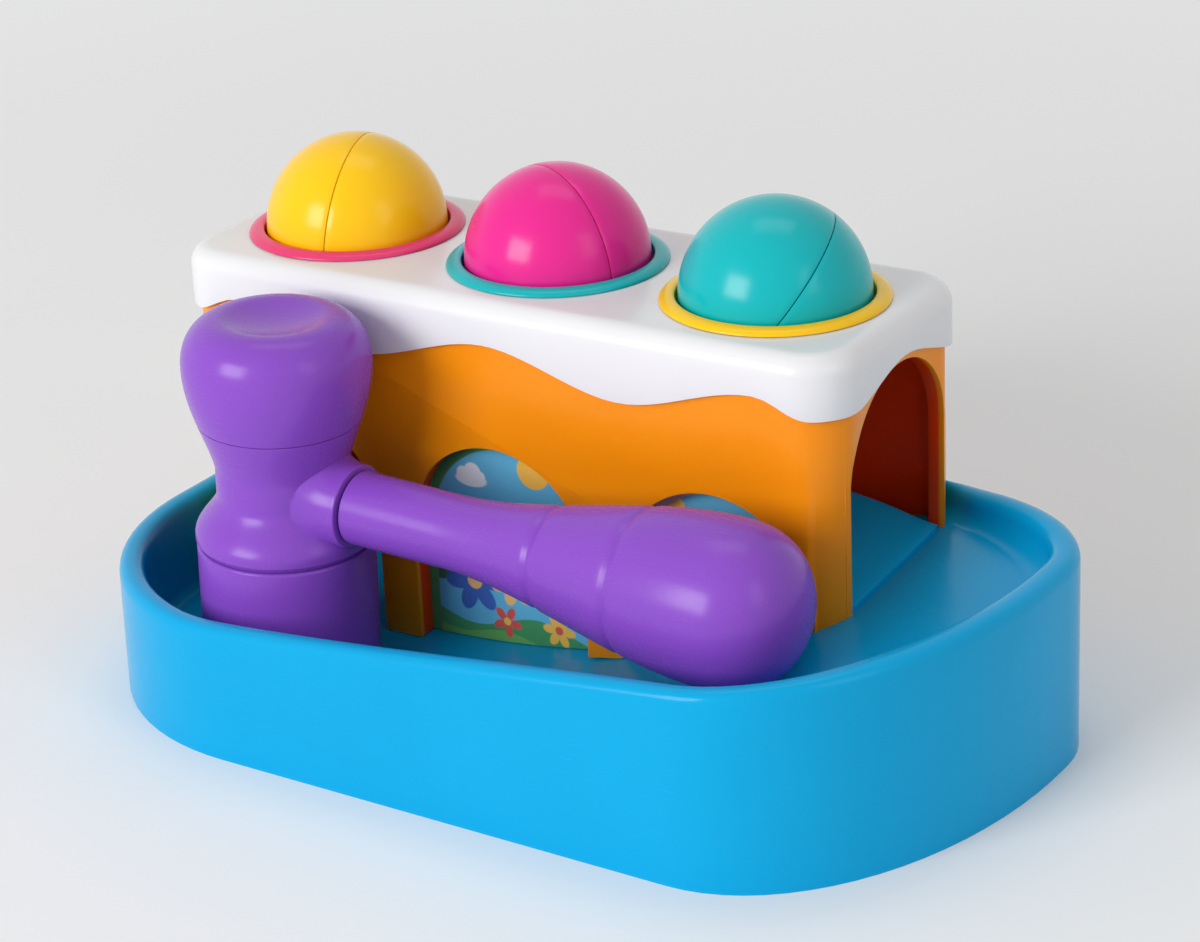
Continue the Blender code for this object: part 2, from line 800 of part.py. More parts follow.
def build_deck():
    mesh = loft("deck_cover", deck_rings())
    mesh.transform(DECK_PLACE)
    deck = add_part("deck_cover", mesh, "white_plastic")
    inside = deck_under + deck_plate / 2
    boss_low = clamp_top + seat_gap
    bosses = []
    for x, y in clamp_screw_places():
        move = Matrix.Translation((deck_x + x, deck_y + y, 0.0))
        bosses.append(rod("clamp_boss", small_boss_radius, boss_low, inside, small_steps, move))
    for x, y in screw_places(screw_row_y):
        move = Matrix.Translation((deck_x + x, deck_y + y, 0.0))
        low = deck_under - deck_boss_length
        bosses.append(rod("deck_boss", deck_boss_radius, low, inside, small_steps, move))
    join(deck, add_guide("deck_bosses", copies_of_all("deck_bosses", bosses)))

    hole = rod("hole", deck_hole_radius, deck_under - overrun, deck_height + overrun, turned_steps)
    places = [(deck_x + x, deck_y, 0.0) for x in hole_places]
    cut(deck, add_guide("ball_holes", copies("ball_holes", hole, places)))
    pilot = rod("pilot", screw_radius + pilot_clearance, boss_low - overrun, inside, small_steps)
    places = [(deck_x + x, deck_y + y, 0.0) for x, y in clamp_screw_places()]
    cut(deck, add_guide("clamp_pilots", copies("clamp_pilots", pilot, places)))
    low = deck_under - deck_boss_length
    pilot = rod("pilot", screw_radius + pilot_clearance, low - overrun, low + long_screw_length, small_steps)
    places = [(deck_x + x, deck_y + y, 0.0) for x, y in screw_places(screw_row_y)]
    cut(deck, add_guide("deck_pilots", copies("deck_pilots", pilot, places)), "MANIFOLD")


def ring_profile():
    outer = ring_diameter / 2
    seat = deck_height + seat_gap
    crown = outer - ring_crown_inset
    return [
        (outer, seat),
        (outer, seat + ring_edge),
        (outer - ring_crown_inset / 3, seat + ring_crown * ring_shoulder_share),
        (crown, seat + ring_crown),
        (ring_inner_radius + ring_lip_drop, seat),
        (ring_inner_radius, seat - ring_lip_drop),
        (ring_inner_radius, deck_under),
        (collar_outer_radius, deck_under),
        (collar_outer_radius, seat),
    ]


def gripper_profile():
    outer = ring_inner_radius + gripper_flange_width
    under = gripper_top - gripper_thickness
    tip_height = gripper_top - gripper_tip_drop
    ball_drop = ball_centre_height - tip_height
    tip = math.sqrt(ball_radius * ball_radius - ball_drop * ball_drop) + gripper_clearance
    return [
        (outer, gripper_top),
        (outer, under),
        (ring_inner_radius + gripper_thickness / 2, under),
        (tip + gripper_thickness / 2, tip_height - gripper_thickness / 2),
        (tip, tip_height),
        (ring_inner_radius, gripper_top),
    ]


def slot_blades(x):
    """Three thin boards across a gripper, whose ends part its lip into six fingers."""
    blades = []
    low = gripper_top - gripper_thickness - gripper_tip_drop
    high = gripper_top - gripper_thickness / 3
    for number in range(gripper_slots):
        turn = Matrix.Rotation(math.pi * (number + 0.5) / gripper_slots, 4, "Z")
        bm = bmesh.new()
        bmesh.ops.create_cube(bm, size=1.0)
        size = Matrix.Diagonal((2 * ring_inner_radius, gripper_slot, high - low, 1.0))
        place = Matrix.Translation((deck_x + x, deck_y, (low + high) / 2))
        bmesh.ops.transform(bm, matrix=place @ turn @ size, verts=bm.verts)
        blades.append(mesh_from_bmesh("blade", bm))
    return blades


def clamp_outlines():
    half = clamp_side / 2
    square = box_plan(half, half, clamp_corner_radius, plain_edge_steps)
    hole = arc((0.0, 0.0), ring_inner_radius + gripper_thickness, 0.0, 2 * math.pi, turned_steps)[:-1]
    outlines = [square, hole]
    offset = half - clamp_screw_inset
    for x in (-offset, offset):
        for y in (-offset, offset):
            radius = screw_radius + pilot_clearance
            outlines.append(arc((x, y), radius, 0.0, 2 * math.pi, small_steps)[:-1])
    return outlines


def build_holes():
    """Each hole's ring, gripper and clamp."""
    ring_finishes = ("pink_plastic", "teal_plastic", "yellow_plastic")
    for x, side, finish in zip(hole_places, side_names, ring_finishes):
        move = Matrix.Translation((deck_x + x, deck_y, 0.0))
        name = "hole_ring_" + side
        add_part(name, turned(name, ring_profile(), turned_steps, move), finish)
        name = "ball_gripper_" + side
        gripper = add_part(name, turned(name, gripper_profile(), turned_steps, move), "soft_grip")
        for number, blade in enumerate(slot_blades(x)):
            cut(gripper, add_guide("slot_" + side + str(number), blade))
        name = "gripper_clamp_" + side
        place = (deck_x + x, deck_y, clamp_top - clamp_thickness / 2)
        plate = prism(name, clamp_outlines(), clamp_thickness / 2, FLAT, place)
        add_part(name, plate, "white_plastic")


# Balls

def half_ball_profile():
    outer = ball_radius
    inner = ball_radius - ball_wall
    quarter = math.pi / 2
    start_outer = math.asin(seam_gap / 2 / outer)
    start_inner = math.asin(seam_gap / 2 / inner)
    points = []
    for i in range(ball_rings + 1):
        angle = quarter + (start_outer - quarter) * i / ball_rings
        points.append((outer * math.cos(angle) if i else 0.0, outer * math.sin(angle)))
    for i in range(ball_rings + 1):
        angle = start_inner + (quarter - start_inner) * i / ball_rings
        points.append((inner * math.cos(angle) if i < ball_rings else 0.0, inner * math.sin(angle)))
    return points


def build_balls():
    """Three hollow balls, each of two half shells that meet at a seam."""
    ball_finishes = ("yellow_plastic", "magenta_plastic", "teal_plastic")
    for x, side, finish, turn, tilt in zip(hole_places, side_names, ball_finishes, seam_turns, seam_tilts):
        for half, flip in (("front", 1), ("back", -1)):
            name = f"ball_{side}_{half}_half"
            ball = add_part(name, turned(name, half_ball_profile(), ball_segments), finish)
            ball.location = (deck_x + x, deck_y, ball_centre_height)
            ball.rotation_euler = (flip * math.pi / 2 - tilt, 0.0, turn)


# Ramp

def ramp_surface(x_low, x_high):
    """A trough that fades to the tray's own slope at the right end, where the balls leave it."""
    bm = bmesh.new()
    bmesh.ops.create_grid(bm, x_segments=ramp_length_steps, y_segments=ramp_width_steps, size=1.0)
    for vert in bm.verts:
        x = x_low + (x_high - x_low) * (vert.co.x + 1) / 2
        y = vert.co.y * ramp_width / 2
        fade = ease((x - ramp_fade_start) / (x_high - ramp_fade_start))
        trough = y * y / (2 * ramp_trough_radius)
        vert.co = (x, y, ramp_height(x) + trough + (bank_share * y - trough) * fade)
    mesh = bpy.data.meshes.new("ball_ramp")
    bm.to_mesh(mesh)
    bm.free()
    mesh.transform(DECK_PLACE)
    return mesh


def box_mesh(name, low, high):
    bm = bmesh.new()
    bmesh.ops.create_cube(bm, size=1.0)
    size = Vector(high) - Vector(low)
    middle = (Vector(high) + Vector(low)) / 2
    matrix = Matrix.Translation(middle) @ Matrix.Diagonal((*size, 1.0))
    bmesh.ops.transform(bm, matrix=matrix, verts=bm.verts)
    return mesh_from_bmesh(name, bm)


def build_ramp(seat):
    x_low = ramp_left_gap + body_wall - body_half_length
    x_high = body_half_length - ramp_right_gap
    ramp = add_part("ball_ramp", ramp_surface(x_low, x_high), "blue_plastic")
    wall = ramp.modifiers.new("wall", "SOLIDIFY")
    wall.thickness = ramp_wall
    wall.offset = -1
    legs = []
    bosses = []
    for x in leg_places():
        top = ramp_height(x) - ramp_wall / 5
        low = (deck_x + x - ramp_leg_thickness / 2, deck_y - ramp_leg_width / 2, foot_height)
        high = (deck_x + x + ramp_leg_thickness / 2, deck_y + ramp_leg_width / 2, top)
        legs.append(box_mesh("leg", low, high))
        move = Matrix.Translation((deck_x + x, deck_y, 0.0))
        boss_top = floor_height(x, 0.0) + boss_height / 2 + boss_radius
        bosses.append(rod("leg_boss", boss_radius, foot_height, boss_top, small_steps, move))
    join(ramp, add_guide("ramp_legs", copies_of_all("ramp_legs", legs)))
    join(ramp, add_guide("ramp_bosses", copies_of_all("ramp_bosses", bosses)))
    drills = []
    for x in leg_places():
        move = Matrix.Translation((deck_x + x, deck_y, floor_height(x, 0.0)))
        depth = long_screw_length
        drills.append(rod("drill", screw_radius + pilot_clearance, -floor_low, depth, small_steps, move))
    cut(ramp, add_guide("ramp_holes", copies_of_all("ramp_holes", drills)))
    cut(ramp, seat)


# Screws

def screw_profile(length):
    return [
        (0.0, length),
        (screw_radius, length),
        (screw_radius, 0.0),
        (screw_head_radius, 0.0),
        (screw_head_radius, -screw_head_height),
        (0.0, -screw_head_height),
    ]


def add_screws(name, length, places):
    """Identical screws, head down, each placed by the underside of what its head holds."""
    mesh = turned(name, screw_profile(length), screw_steps)
    for number, (x, y, z) in enumerate(places, 1):
        screw = add_part(f"{name}_{number}", mesh.copy(), "zinc_steel")
        screw.location = (deck_x + x, deck_y + y, z - seat_gap)
    bpy.data.meshes.remove(mesh)


def under_floor(x, y):
    """Lowest underside of the tray's floor beneath a screw's head."""
    heights = [floor_height(x + reach, y) for reach in (-screw_head_radius, screw_head_radius)]
    return min(heights) - tray_wall


def build_screws():
    clamp_under = clamp_top - clamp_thickness
    places = [(x, y, clamp_under) for x, y in clamp_screw_places()]
    add_screws("clamp_screw", small_screw_length - seat_gap, places)
    lug_under = deck_under - deck_boss_length - seat_gap - lug_thickness
    places = [(x, y, lug_under) for x, y in screw_places(screw_row_y)]
    add_screws("deck_screw", long_screw_length, places)
    places = [(x, y, under_floor(x, y)) for x, y in screw_places(screw_row_y)]
    add_screws("base_screw", long_screw_length, places)
    places = [(x, 0.0, under_floor(x, 0.0)) for x in leg_places()]
    add_screws("ramp_screw", long_screw_length, places)


# Mallet: the head stands on the channel's floor and the grip rests on its rising end

def head_radius(height):
    """Outer radius of the head, as a smooth line through its bulb, waist and barrel."""
    parting = head_parting_height
    waist_low = handle_axis_height
    flare_low = head_cap_height + (waist_low - head_cap_height) * flare_start_share
    if height < head_cap_height:
        return head_cap_radius
    if height < flare_low:
        return head_barrel_radius
    if height < waist_low:
        share = ease((height - flare_low) / (waist_low - flare_low))
        return head_barrel_radius + (head_waist_radius - head_barrel_radius) * share
    waist_high = handle_axis_height + collar_radius * waist_top_share
    if height < waist_high:
        return head_waist_radius
    bulb_middle = parting + (head_length - parting) * bulb_middle_share
    if height < bulb_middle:
        share = (height - waist_high) / (bulb_middle - waist_high)
        swell = math.sin(share * math.pi / 2) ** bulb_swell_power
        return head_waist_radius + (head_bulb_radius - head_waist_radius) * swell
    share = (height - bulb_middle) / (head_length - bulb_middle)
    fall = 1 - math.sqrt(max(1 - share ** bulb_top_power, 0.0))
    return head_bulb_radius + (head_top_radius - head_bulb_radius) * fall


def spread(low, high, count):
    return [low + (high - low) * i / count for i in range(count + 1)]


def bulb_profile():
    low = head_parting_height + seat_gap / 2
    dish = head_length - head_top_dish
    roof = dish - head_wall
    dish_radius, edge_radius = [head_top_radius * share for share in head_dish_shares]
    outer = [(head_radius(h), h) for h in spread(low, head_length, bulb_steps)]
    inner = [(head_radius(h) - head_wall, h) for h in spread(low, roof - 2 * head_wall, bulb_steps // 2)]
    top = [(0.0, dish), (dish_radius, dish), (edge_radius, head_length)]
    under = [(edge_radius, roof), (0.0, roof)]
    return top + list(reversed(outer)) + inner + under


def barrel_profile():
    low = head_cap_height + seat_gap
    high = head_parting_height - seat_gap / 2
    heights = spread(low + 2 * head_groove, high, barrel_steps)
    outer = [(head_cap_radius - head_groove, low)] + [(head_radius(h), h) for h in heights]
    inner = [(head_cap_radius - head_groove - head_wall, low)]
    heights = spread(low + 2 * head_groove, high, barrel_steps // 2)
    inner += [(head_radius(h) - head_wall, h) for h in heights]
    return list(reversed(outer)) + inner


def cap_profile():
    edge = head_wall
    top = head_cap_height
    return [
        (head_cap_radius - head_wall, top),
        (head_cap_radius - head_groove, top),
        (head_cap_radius, top - head_groove),
        (head_cap_radius, edge),
        (head_cap_radius - edge / 3, edge / 3),
        (head_cap_radius - edge, 0.0),
        (0.0, 0.0),
        (0.0, head_wall),
        (head_cap_radius - head_wall, head_wall),
    ]


def handle_radius(reach):
    """Outer radius of the handle at a distance from the head's axis."""
    neck = collar_reach + handle_gap
    swell_start = neck + (grip_groove_first - neck) * neck_share
    share = (reach - swell_start) / (grip_centre - swell_start)
    radius = neck_radius + (grip_radius - neck_radius) * ease(share)
    for groove in (grip_groove_first, grip_groove_second):
        if abs(reach - groove) < grip_groove_depth:
            radius -= grip_groove_depth
    if reach > grip_centre:
        share = (reach - grip_centre) / grip_radius
        radius = grip_radius * math.sqrt(max(1 - share ** grip_end_power, 0.0))
    return radius


def handle_profile():
    """Points of (radius, reach) from the grip's end to the tenon and back through the hollow inside."""
    neck = collar_reach + handle_gap
    end = grip_centre + grip_radius
    start = collar_reach - tenon_depth
    reaches = [end - grip_radius * s for s in grip_end_shares]
    reaches += [grip_groove_second + (grip_centre - grip_groove_second) * s for s in grip_shares]
    edge = 2 * grip_groove_depth
    reaches += [grip_groove_second + edge, grip_groove_second, grip_groove_second - edge]
    reaches += [(grip_groove_first + grip_groove_second) / 2]
    reaches += [grip_groove_first + edge, grip_groove_first, grip_groove_first - edge]
    reaches += [neck + (grip_groove_first - neck) * s for s in neck_shares]
    outer = [(handle_radius(r), r) for r in reaches]
    outer[0] = (0.0, end)
    tenon = [(tenon_radius, neck), (tenon_radius, start), (tenon_radius - handle_wall, start)]
    hollow = [(tenon_radius - handle_wall, neck)]
    for share in hollow_shares:
        reach = neck + (grip_centre - neck) * share
        hollow.append((handle_radius(reach) - 2 * handle_wall, reach))
    hollow.append((0.0, end - 2 * handle_wall))
    return outer + tenon + hollow


def hammer_lean(base_height):
    """The small angle by which the mallet leans until its grip touches the rising floor."""
    pivot_x = head_cap_radius - head_wall - hammer_offset_x
    arm_x = grip_centre - hammer_offset_x - pivot_x
    arm_z = handle_axis_height

    def clearance(lean):
        x = pivot_x + arm_x * math.cos(lean) + arm_z * math.sin(lean)
        z = base_height + arm_z * math.cos(lean) - arm_x * math.sin(lean)
        nearest = grip_radius
        gap = math.inf
        for sample in spread(x - nearest, x + nearest, lean_steps):
            floor = floor_height(sample, hammer_y)
            gap = min(gap, math.hypot(sample - x, z - floor) - grip_radius)
        return gap

    low, high = -lean_limit, lean_limit
    for _ in range(lean_steps):
        middle = (low + high) / 2
        if clearance(middle) > 2 * seat_gap:
            low = middle
        else:
            high = middle
    return low, pivot_x


def socket_profile(start):
    """The socket flares from its mouth into the head's waist."""
    profile = [(0.0, collar_reach), (collar_radius, collar_reach)]
    for share in collar_flare_shares:
        reach = collar_reach + (start - collar_reach) * share
        profile.append((collar_radius + collar_flare * share * share, reach))
    return profile + [(0.0, start)]


def build_hammer():
    base_height = floor_height(-hammer_offset_x, hammer_y) + seat_gap
    lean, pivot_x = hammer_lean(base_height)
    pivot = Vector((deck_x + pivot_x, deck_y + hammer_y, base_height))
    rest = bpy.data.objects.new("hammer_rest", None)
    parts.objects.link(rest)
    rest.location = pivot
    rest.rotation_euler = (0.0, lean, 0.0)
    stand = Matrix.Translation((-hammer_offset_x - pivot_x, 0.0, 0.0))
    lying = stand @ Matrix.Translation((0.0, 0.0, handle_axis_height)) @ Matrix.Rotation(math.pi / 2, 4, "Y")

    shapes = (
        ("hammer_head_cap", cap_profile(), stand),
        ("hammer_head_bulb", bulb_profile(), stand),
        ("hammer_head_barrel", barrel_profile(), stand),
        ("hammer_handle", handle_profile(), lying),
    )
    pieces = {}
    for name, profile, place in shapes:
        pieces[name] = add_part(name, turned(name, profile, turned_steps, place), "purple_plastic")
    socket_start = head_waist_radius - 3 * head_wall
    socket = turned("socket", socket_profile(socket_start), turned_steps, lying)
    bore_radius = tenon_radius + seat_gap
    bore = rod("bore", bore_radius, socket_start - overrun, collar_reach + overrun, bore_steps, lying)
    guides = [add_guide("hammer_socket", socket), add_guide("hammer_bore", bore)]
    join(pieces["hammer_head_barrel"], guides[0])
    cut(pieces["hammer_head_barrel"], guides[1])
    for piece in [*pieces.values(), *guides]:
        piece.parent = rest


seat = build_tray()
build_body(seat)
build_panels(seat)
build_deck()
build_holes()
build_balls()
build_ramp(seat)
build_screws()
build_hammer()
bpy.context.view_layer.update()
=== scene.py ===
"""Ball pounding bench: moulded tray, body and deck, hollow balls, a mallet, printed panels and screws.

Run as a script. Sizes are in metres. The bench's pieces are shaped in its own frame, whose x and y
start at the middle of the deck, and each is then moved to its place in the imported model.
"""

import math
from contextlib import contextmanager

import bmesh
import bpy
import numpy as np
from bpy.props import FloatProperty, FloatVectorProperty, PointerProperty
from mathutils import Matrix, Vector


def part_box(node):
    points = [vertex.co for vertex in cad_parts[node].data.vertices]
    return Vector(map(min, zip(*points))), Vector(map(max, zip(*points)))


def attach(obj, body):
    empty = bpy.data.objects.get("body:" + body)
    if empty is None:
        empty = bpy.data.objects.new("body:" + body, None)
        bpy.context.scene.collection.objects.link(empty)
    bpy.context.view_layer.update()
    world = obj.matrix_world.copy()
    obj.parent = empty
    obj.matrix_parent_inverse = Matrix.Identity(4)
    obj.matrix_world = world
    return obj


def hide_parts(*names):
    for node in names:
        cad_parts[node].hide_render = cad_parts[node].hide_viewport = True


bl_info = {
    "name": "Ball Pounding Bench",
    "version": (1, 0, 0),
    "blender": (4, 5, 0),
    "location": "3D View > Sidebar > Bench",
    "description": "Models a ball pounding bench and its mallet round a packed frame",
    "category": "Add Mesh",
}

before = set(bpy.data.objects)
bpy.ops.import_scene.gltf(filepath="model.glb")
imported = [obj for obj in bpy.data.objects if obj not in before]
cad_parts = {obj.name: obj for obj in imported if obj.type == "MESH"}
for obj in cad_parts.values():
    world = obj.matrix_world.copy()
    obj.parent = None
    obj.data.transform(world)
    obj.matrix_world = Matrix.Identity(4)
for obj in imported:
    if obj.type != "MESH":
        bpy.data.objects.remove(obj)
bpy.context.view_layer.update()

# Gaps and limits that several pieces share
seat_gap = 0.0003
overrun = 0.0020
weld_distance = 0.000002
edge_round = 0.0005
crease_angle = math.radians(32)

# Steps of the rounds
turn_steps = 112
ring_steps = 128
arch_steps = 96
bore_steps = 64
rod_steps = 32
small_steps = 24

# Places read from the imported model
sides = ("left", "middle", "right")
deck_low, deck_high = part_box("deck_cover")
body_low, body_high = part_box("body_shell")
tray_low, tray_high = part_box("tray_base")
ramp_low, ramp_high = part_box("ball_ramp")
ring_low, ring_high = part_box("hole_ring_middle")
ball_low, ball_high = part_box("ball_middle_front_half")
gripper_low, gripper_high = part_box("ball_gripper_middle")
clamp_low, clamp_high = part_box("gripper_clamp_middle")
bench_centre = Vector(((deck_low.x + deck_high.x) / 2, (deck_low.y + deck_high.y) / 2, 0.0))
to_bench = Matrix.Translation(bench_centre)
deck_half_length = (deck_high.x - deck_low.x) / 2
deck_half_depth = (deck_high.y - deck_low.y) / 2
deck_height = deck_high.z
body_half_length = (body_high.x - body_low.x) / 2
body_half_depth = (body_high.y - body_low.y) / 2
body_top = body_high.z
hole_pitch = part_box("hole_ring_right")[0].x - ring_low.x
hole_places = (-hole_pitch, 0.0, hole_pitch)
ring_outer_radius = (ring_high.x - ring_low.x) / 2
ring_seat = deck_height + seat_gap
ball_radius = (ball_high.z - ball_low.z) / 2
ball_height = (ball_high.z + ball_low.z) / 2
tray_left = tray_low.x - bench_centre.x
tray_right = tray_high.x - bench_centre.x
tray_front = tray_low.y - bench_centre.y
tray_back = tray_high.y - bench_centre.y
ramp_left = ramp_low.x - bench_centre.x
ramp_right = ramp_high.x - bench_centre.x
post_places = (-hole_pitch / 2, hole_pitch / 2)

# Tray
tray_flare = 0.0006
tray_wall = 0.0024
tray_end_band = 0.0085
tray_basin_band = 0.0095
basin_back_band = 0.0088
front_radius_left = 0.0800
back_radius_left = 0.0240
basin_front_curve = (0.0706, 0.1160)
basin_back_curve = (0.0760, 0.0495)
channel_width = 0.0728
floor_low = 0.0110
floor_high = 0.0465
floor_rise_start = 0.0400
floor_bend_inset = 0.0135
floor_flat_reach = 0.0115
bank_start = 0.0200
bank_length = 0.1000
bank_share = 0.070
rim_low = 0.0440
rim_high = 0.0660
rim_rise_start = 0.0700
rim_rise_end = 0.1650
rim_round = 0.0045
rim_power = 2.5
fillet_start = 0.0500
fillet_length = 0.0900
fillet_room = 0.9
hollow_band = 3 * tray_wall
corner_steps = 20
tray_edge_steps = (56, 2, 56, 8)
wall_steps = 4
rim_steps = 14
fillet_steps = 8
floor_steps = 12

# Light that spreads inside the orange plastic
spread_reach = 0.003
spread_tint = (1.0, 0.20, 0.05)

# Body, deck, rings and ramp
body_corner_radius = 0.0157
arch_lip_depth = 0.0070
exit_lip_depth = 0.0060
lug_thickness = 0.0032
boss_height = 0.0240
deck_boss_length = 0.0262
deck_plate = 0.0025
deck_step = 0.0040
skirt_lobe_share = 0.62
skirt_crest_share = 1.215
screw_row_inset = 0.0055
boss_radius = 0.0040
clamp_boss_radius = 0.0033
deck_boss_radius = 0.0029
clamp_screw_inset = 0.0055
ring_inner_radius = 0.0308
ring_crown_inset = 0.0040
collar_wall = 0.0025
gripper_thickness = 0.0013
gripper_slot = 0.0012
seam_turns = ((-75.2, 7.4), (-23.2, -4.6), (-59.8, 38.5))
seam_edge_share = 0.6
seam_round_share = 0.3
ramp_left_height = 0.0660
ramp_side_inset = 0.0009
ramp_drill_reach = 0.0140
ramp_trough_radius = 0.0600
ramp_fade_start = 0.0400
ramp_feather = 0.0200
ramp_leg_width = 0.0280
ramp_leg_thickness = 0.0030
ramp_leg_inset = 0.0070

# Screws
screw_radius = 0.0015
screw_core_radius = 0.0011
screw_head_radius = 0.0030
screw_head_height = 0.0014
screw_neck_share = 0.95
screw_brim_share = 0.30
screw_dome_share = 0.75
screw_pitch = 0.0009
cross_reach_share = 0.60
cross_width_share = 0.16
cross_floor_share = 0.40
pilot_radius = 0.0018

# Mallet
head_length = 0.1190
bulb_radius = 0.0298
barrel_radius = 0.0287
cap_radius = 0.0284
waist_radius = 0.0212
top_radius = 0.0180
top_dish = 0.0026
top_dish_share = 0.92
top_hollow_share = 0.60
top_power = 2.2
head_wall = 0.0025
cap_height = 0.0440
cap_shoulder = 0.0010
parting_height = 0.0857
parting_groove = 0.0008
barrel_flare_share = 0.20
waist_share = 0.65
bulb_share = 0.55
bulb_power = 1.35
bulb_step_power = 1.6
collar_reach = 0.0290
collar_radius = 0.0134
collar_flare = 0.0025
collar_spread = 0.35
neck_radius = 0.0117
neck_share = 0.48
tenon_radius = 0.0100
tenon_depth = 0.0200
handle_gap = 0.0010
grip_radius = 0.0258
grip_centre = 0.1610
grip_grooves = (0.1010, 0.1320)
grip_groove_width = 0.0022
grip_groove_power = 1.2
groove_shares = (-1.0, -0.66, -0.33, 0.0, 0.33, 0.66, 1.0)
grip_end_power = 2.4
handle_wall = 0.0025


def length(name, description, default):
    """A setting in metres."""
    return FloatProperty(name=name, description=description, default=default, unit="LENGTH", min=0.0)


def colour(name, description, default):
    """A setting of linear red, green and blue."""
    return FloatVectorProperty(
        name=name, description=description, default=default, size=3, subtype="COLOR", min=0.0, max=1.0
    )


class BenchSizes(bpy.types.PropertyGroup):
    """Sizes of the moulded pieces that a user may change."""

    deck_corner: length("Deck corner", "Radius of the deck's four corners in plan", 0.0180)
    deck_fillet: length("Deck edge", "Radius of the deck's upper edge", 0.0065)
    deck_wall: length("Deck wall", "Thickness of the deck and its skirt", 0.0020)
    skirt_low: length("Skirt lobes", "Drop of the skirt's front lobes below the deck's top", 0.0241)
    skirt_high: length("Skirt crests", "Drop of the skirt over the front arches", 0.0137)
    skirt_corner: length("Skirt corners", "Drop of the skirt at its corners", 0.0195)
    skirt_end_high: length("Skirt ends", "Drop of the skirt in the middle of each end", 0.0115)
    body_wall: length("Body wall", "Thickness of the body's walls", 0.0022)
    arch_width: length("Arch width", "Width of each front arch", 0.0650)
    arch_height: length("Arch height", "Height of the front arches' tops", 0.0840)
    arch_lip: length("Arch lip", "Thickness of the rim inside each arch", 0.0022)
    exit_width: length("End arch width", "Width of the arch in the right end", 0.0620)
    exit_height: length("End arch height", "Height of the end arch's top", 0.1190)
    ring_crown: length("Ring crown", "Height of a ring's crown over the deck", 0.0019)
    ball_wall: length("Ball wall", "Thickness of the hollow balls", 0.0020)
    ball_seam: length("Ball seam", "Width of the gap where a ball's halves meet", 0.0003)
    floor_fillet: length("Channel fillet", "Radius between the channel's floor and its walls", 0.0040)
    basin_fillet: length("Basin fillet", "Radius between the basin's floor and its walls", 0.0120)
    ramp_wall: length("Ramp wall", "Thickness of the ball ramp", 0.0022)
    grip_groove: length("Grip groove", "Depth of the grooves round the mallet's grip", 0.0007)


class BenchColours(bpy.types.PropertyGroup):
    """Colours of the plastics, and a painted shade for the inside of the body's walls, as linear
    values.
    """

    tray: colour("Tray", "Blue of the tray and the ramp", (0.001, 0.365, 0.690))
    body: colour("Body", "Orange of the body", (1.000, 0.295, 0.002))
    # Painted shade: a deeper red painted on the inner side of the body's walls, where the inside lies
    # in shade
    body_deep: colour("Body, inside", "Orange of the body's inner side", (1.000, 0.050, 0.001))
    deck: colour("Deck", "White of the deck", (0.790, 0.788, 0.802))
    pink: colour("Pink", "Pink of the left ring", (0.780, 0.045, 0.170))
    teal: colour("Teal", "Teal of the middle ring and the right ball", (0.000, 0.440, 0.470))
    yellow: colour("Yellow", "Yellow of the right ring and the left ball", (1.000, 0.570, 0.004))
    magenta: colour("Magenta", "Magenta of the middle ball", (0.800, 0.018, 0.270))
    purple: colour("Purple", "Purple of the mallet", (0.245, 0.070, 0.530))
    elastomer: colour("Elastomer", "Pale soft plastic of the grippers", (0.700, 0.690, 0.640))
    steel: colour("Steel", "Zinc-plated steel of the screws", (0.620, 0.620, 0.640))


def sizes():
    return bpy.context.scene.bench_sizes


def colours():
    return bpy.context.scene.bench_colours


# Shader building

class Signal:
    """A number in a material. Arithmetic on it adds Math nodes."""

    def __init__(self, tree, socket):
        self.tree = tree
        self.socket = socket

    def math(self, operation, *values):
        node = self.tree.nodes.new("ShaderNodeMath")
        node.operation = operation
        for slot, value in zip(node.inputs, values):
            if isinstance(value, Signal):
                self.tree.links.new(value.socket, slot)
            else:
                slot.default_value = value
        return Signal(self.tree, node.outputs[0])

    def __add__(self, other):
        return self.math("ADD", self, other)

    __radd__ = __add__

    def __sub__(self, other):
        return self.math("SUBTRACT", self, other)

    def __rsub__(self, other):
        return self.math("SUBTRACT", other, self)

    def __mul__(self, other):
        return self.math("MULTIPLY", self, other)

    __rmul__ = __mul__

    def __truediv__(self, other):
        return self.math("DIVIDE", self, other)

    def __rtruediv__(self, other):
        return self.math("DIVIDE", other, self)

    def __pow__(self, other):
        return self.math("POWER", self, other)

    def least(self, other):
        return self.math("MINIMUM", self, other)

    def most(self, other):
        return self.math("MAXIMUM", self, other)

    def clamped(self):
        return self.most(0.0).least(1.0)

    def sine(self):
        return self.math("SINE", self)

    def size(self):
        return self.math("ABSOLUTE", self)


class Nodes:
    """A node tree whose nodes are added one by one."""

    def __init__(self, tree):
        self.tree = tree

    def add(self, kind, settings=None, inputs=None, output=0):
        """Adds a node with its settings and its inputs' values or links, and gives one output."""
        node = self.tree.nodes.new(kind)
        for name, value in (settings or {}).items():
            setattr(node, name, value)
        for name, value in (inputs or {}).items():
            self.fill(node.inputs[name], value)
        return Signal(self.tree, node.outputs[output])

    def fill(self, socket, value):
        """Links a socket to a signal or gives it a value."""
        if isinstance(value, Signal):
            self.tree.links.new(value.socket, socket)
        else:
            socket.default_value = value

    def seen(self):
        """One for what the camera sees, also in a reflection or through glass."""
        kinds = ("Is Camera Ray", "Is Glossy Ray", "Is Transmission Ray")
        camera, glossy, through = (self.add("ShaderNodeLightPath", output=kind) for kind in kinds)
        return (camera + glossy + through).clamped()


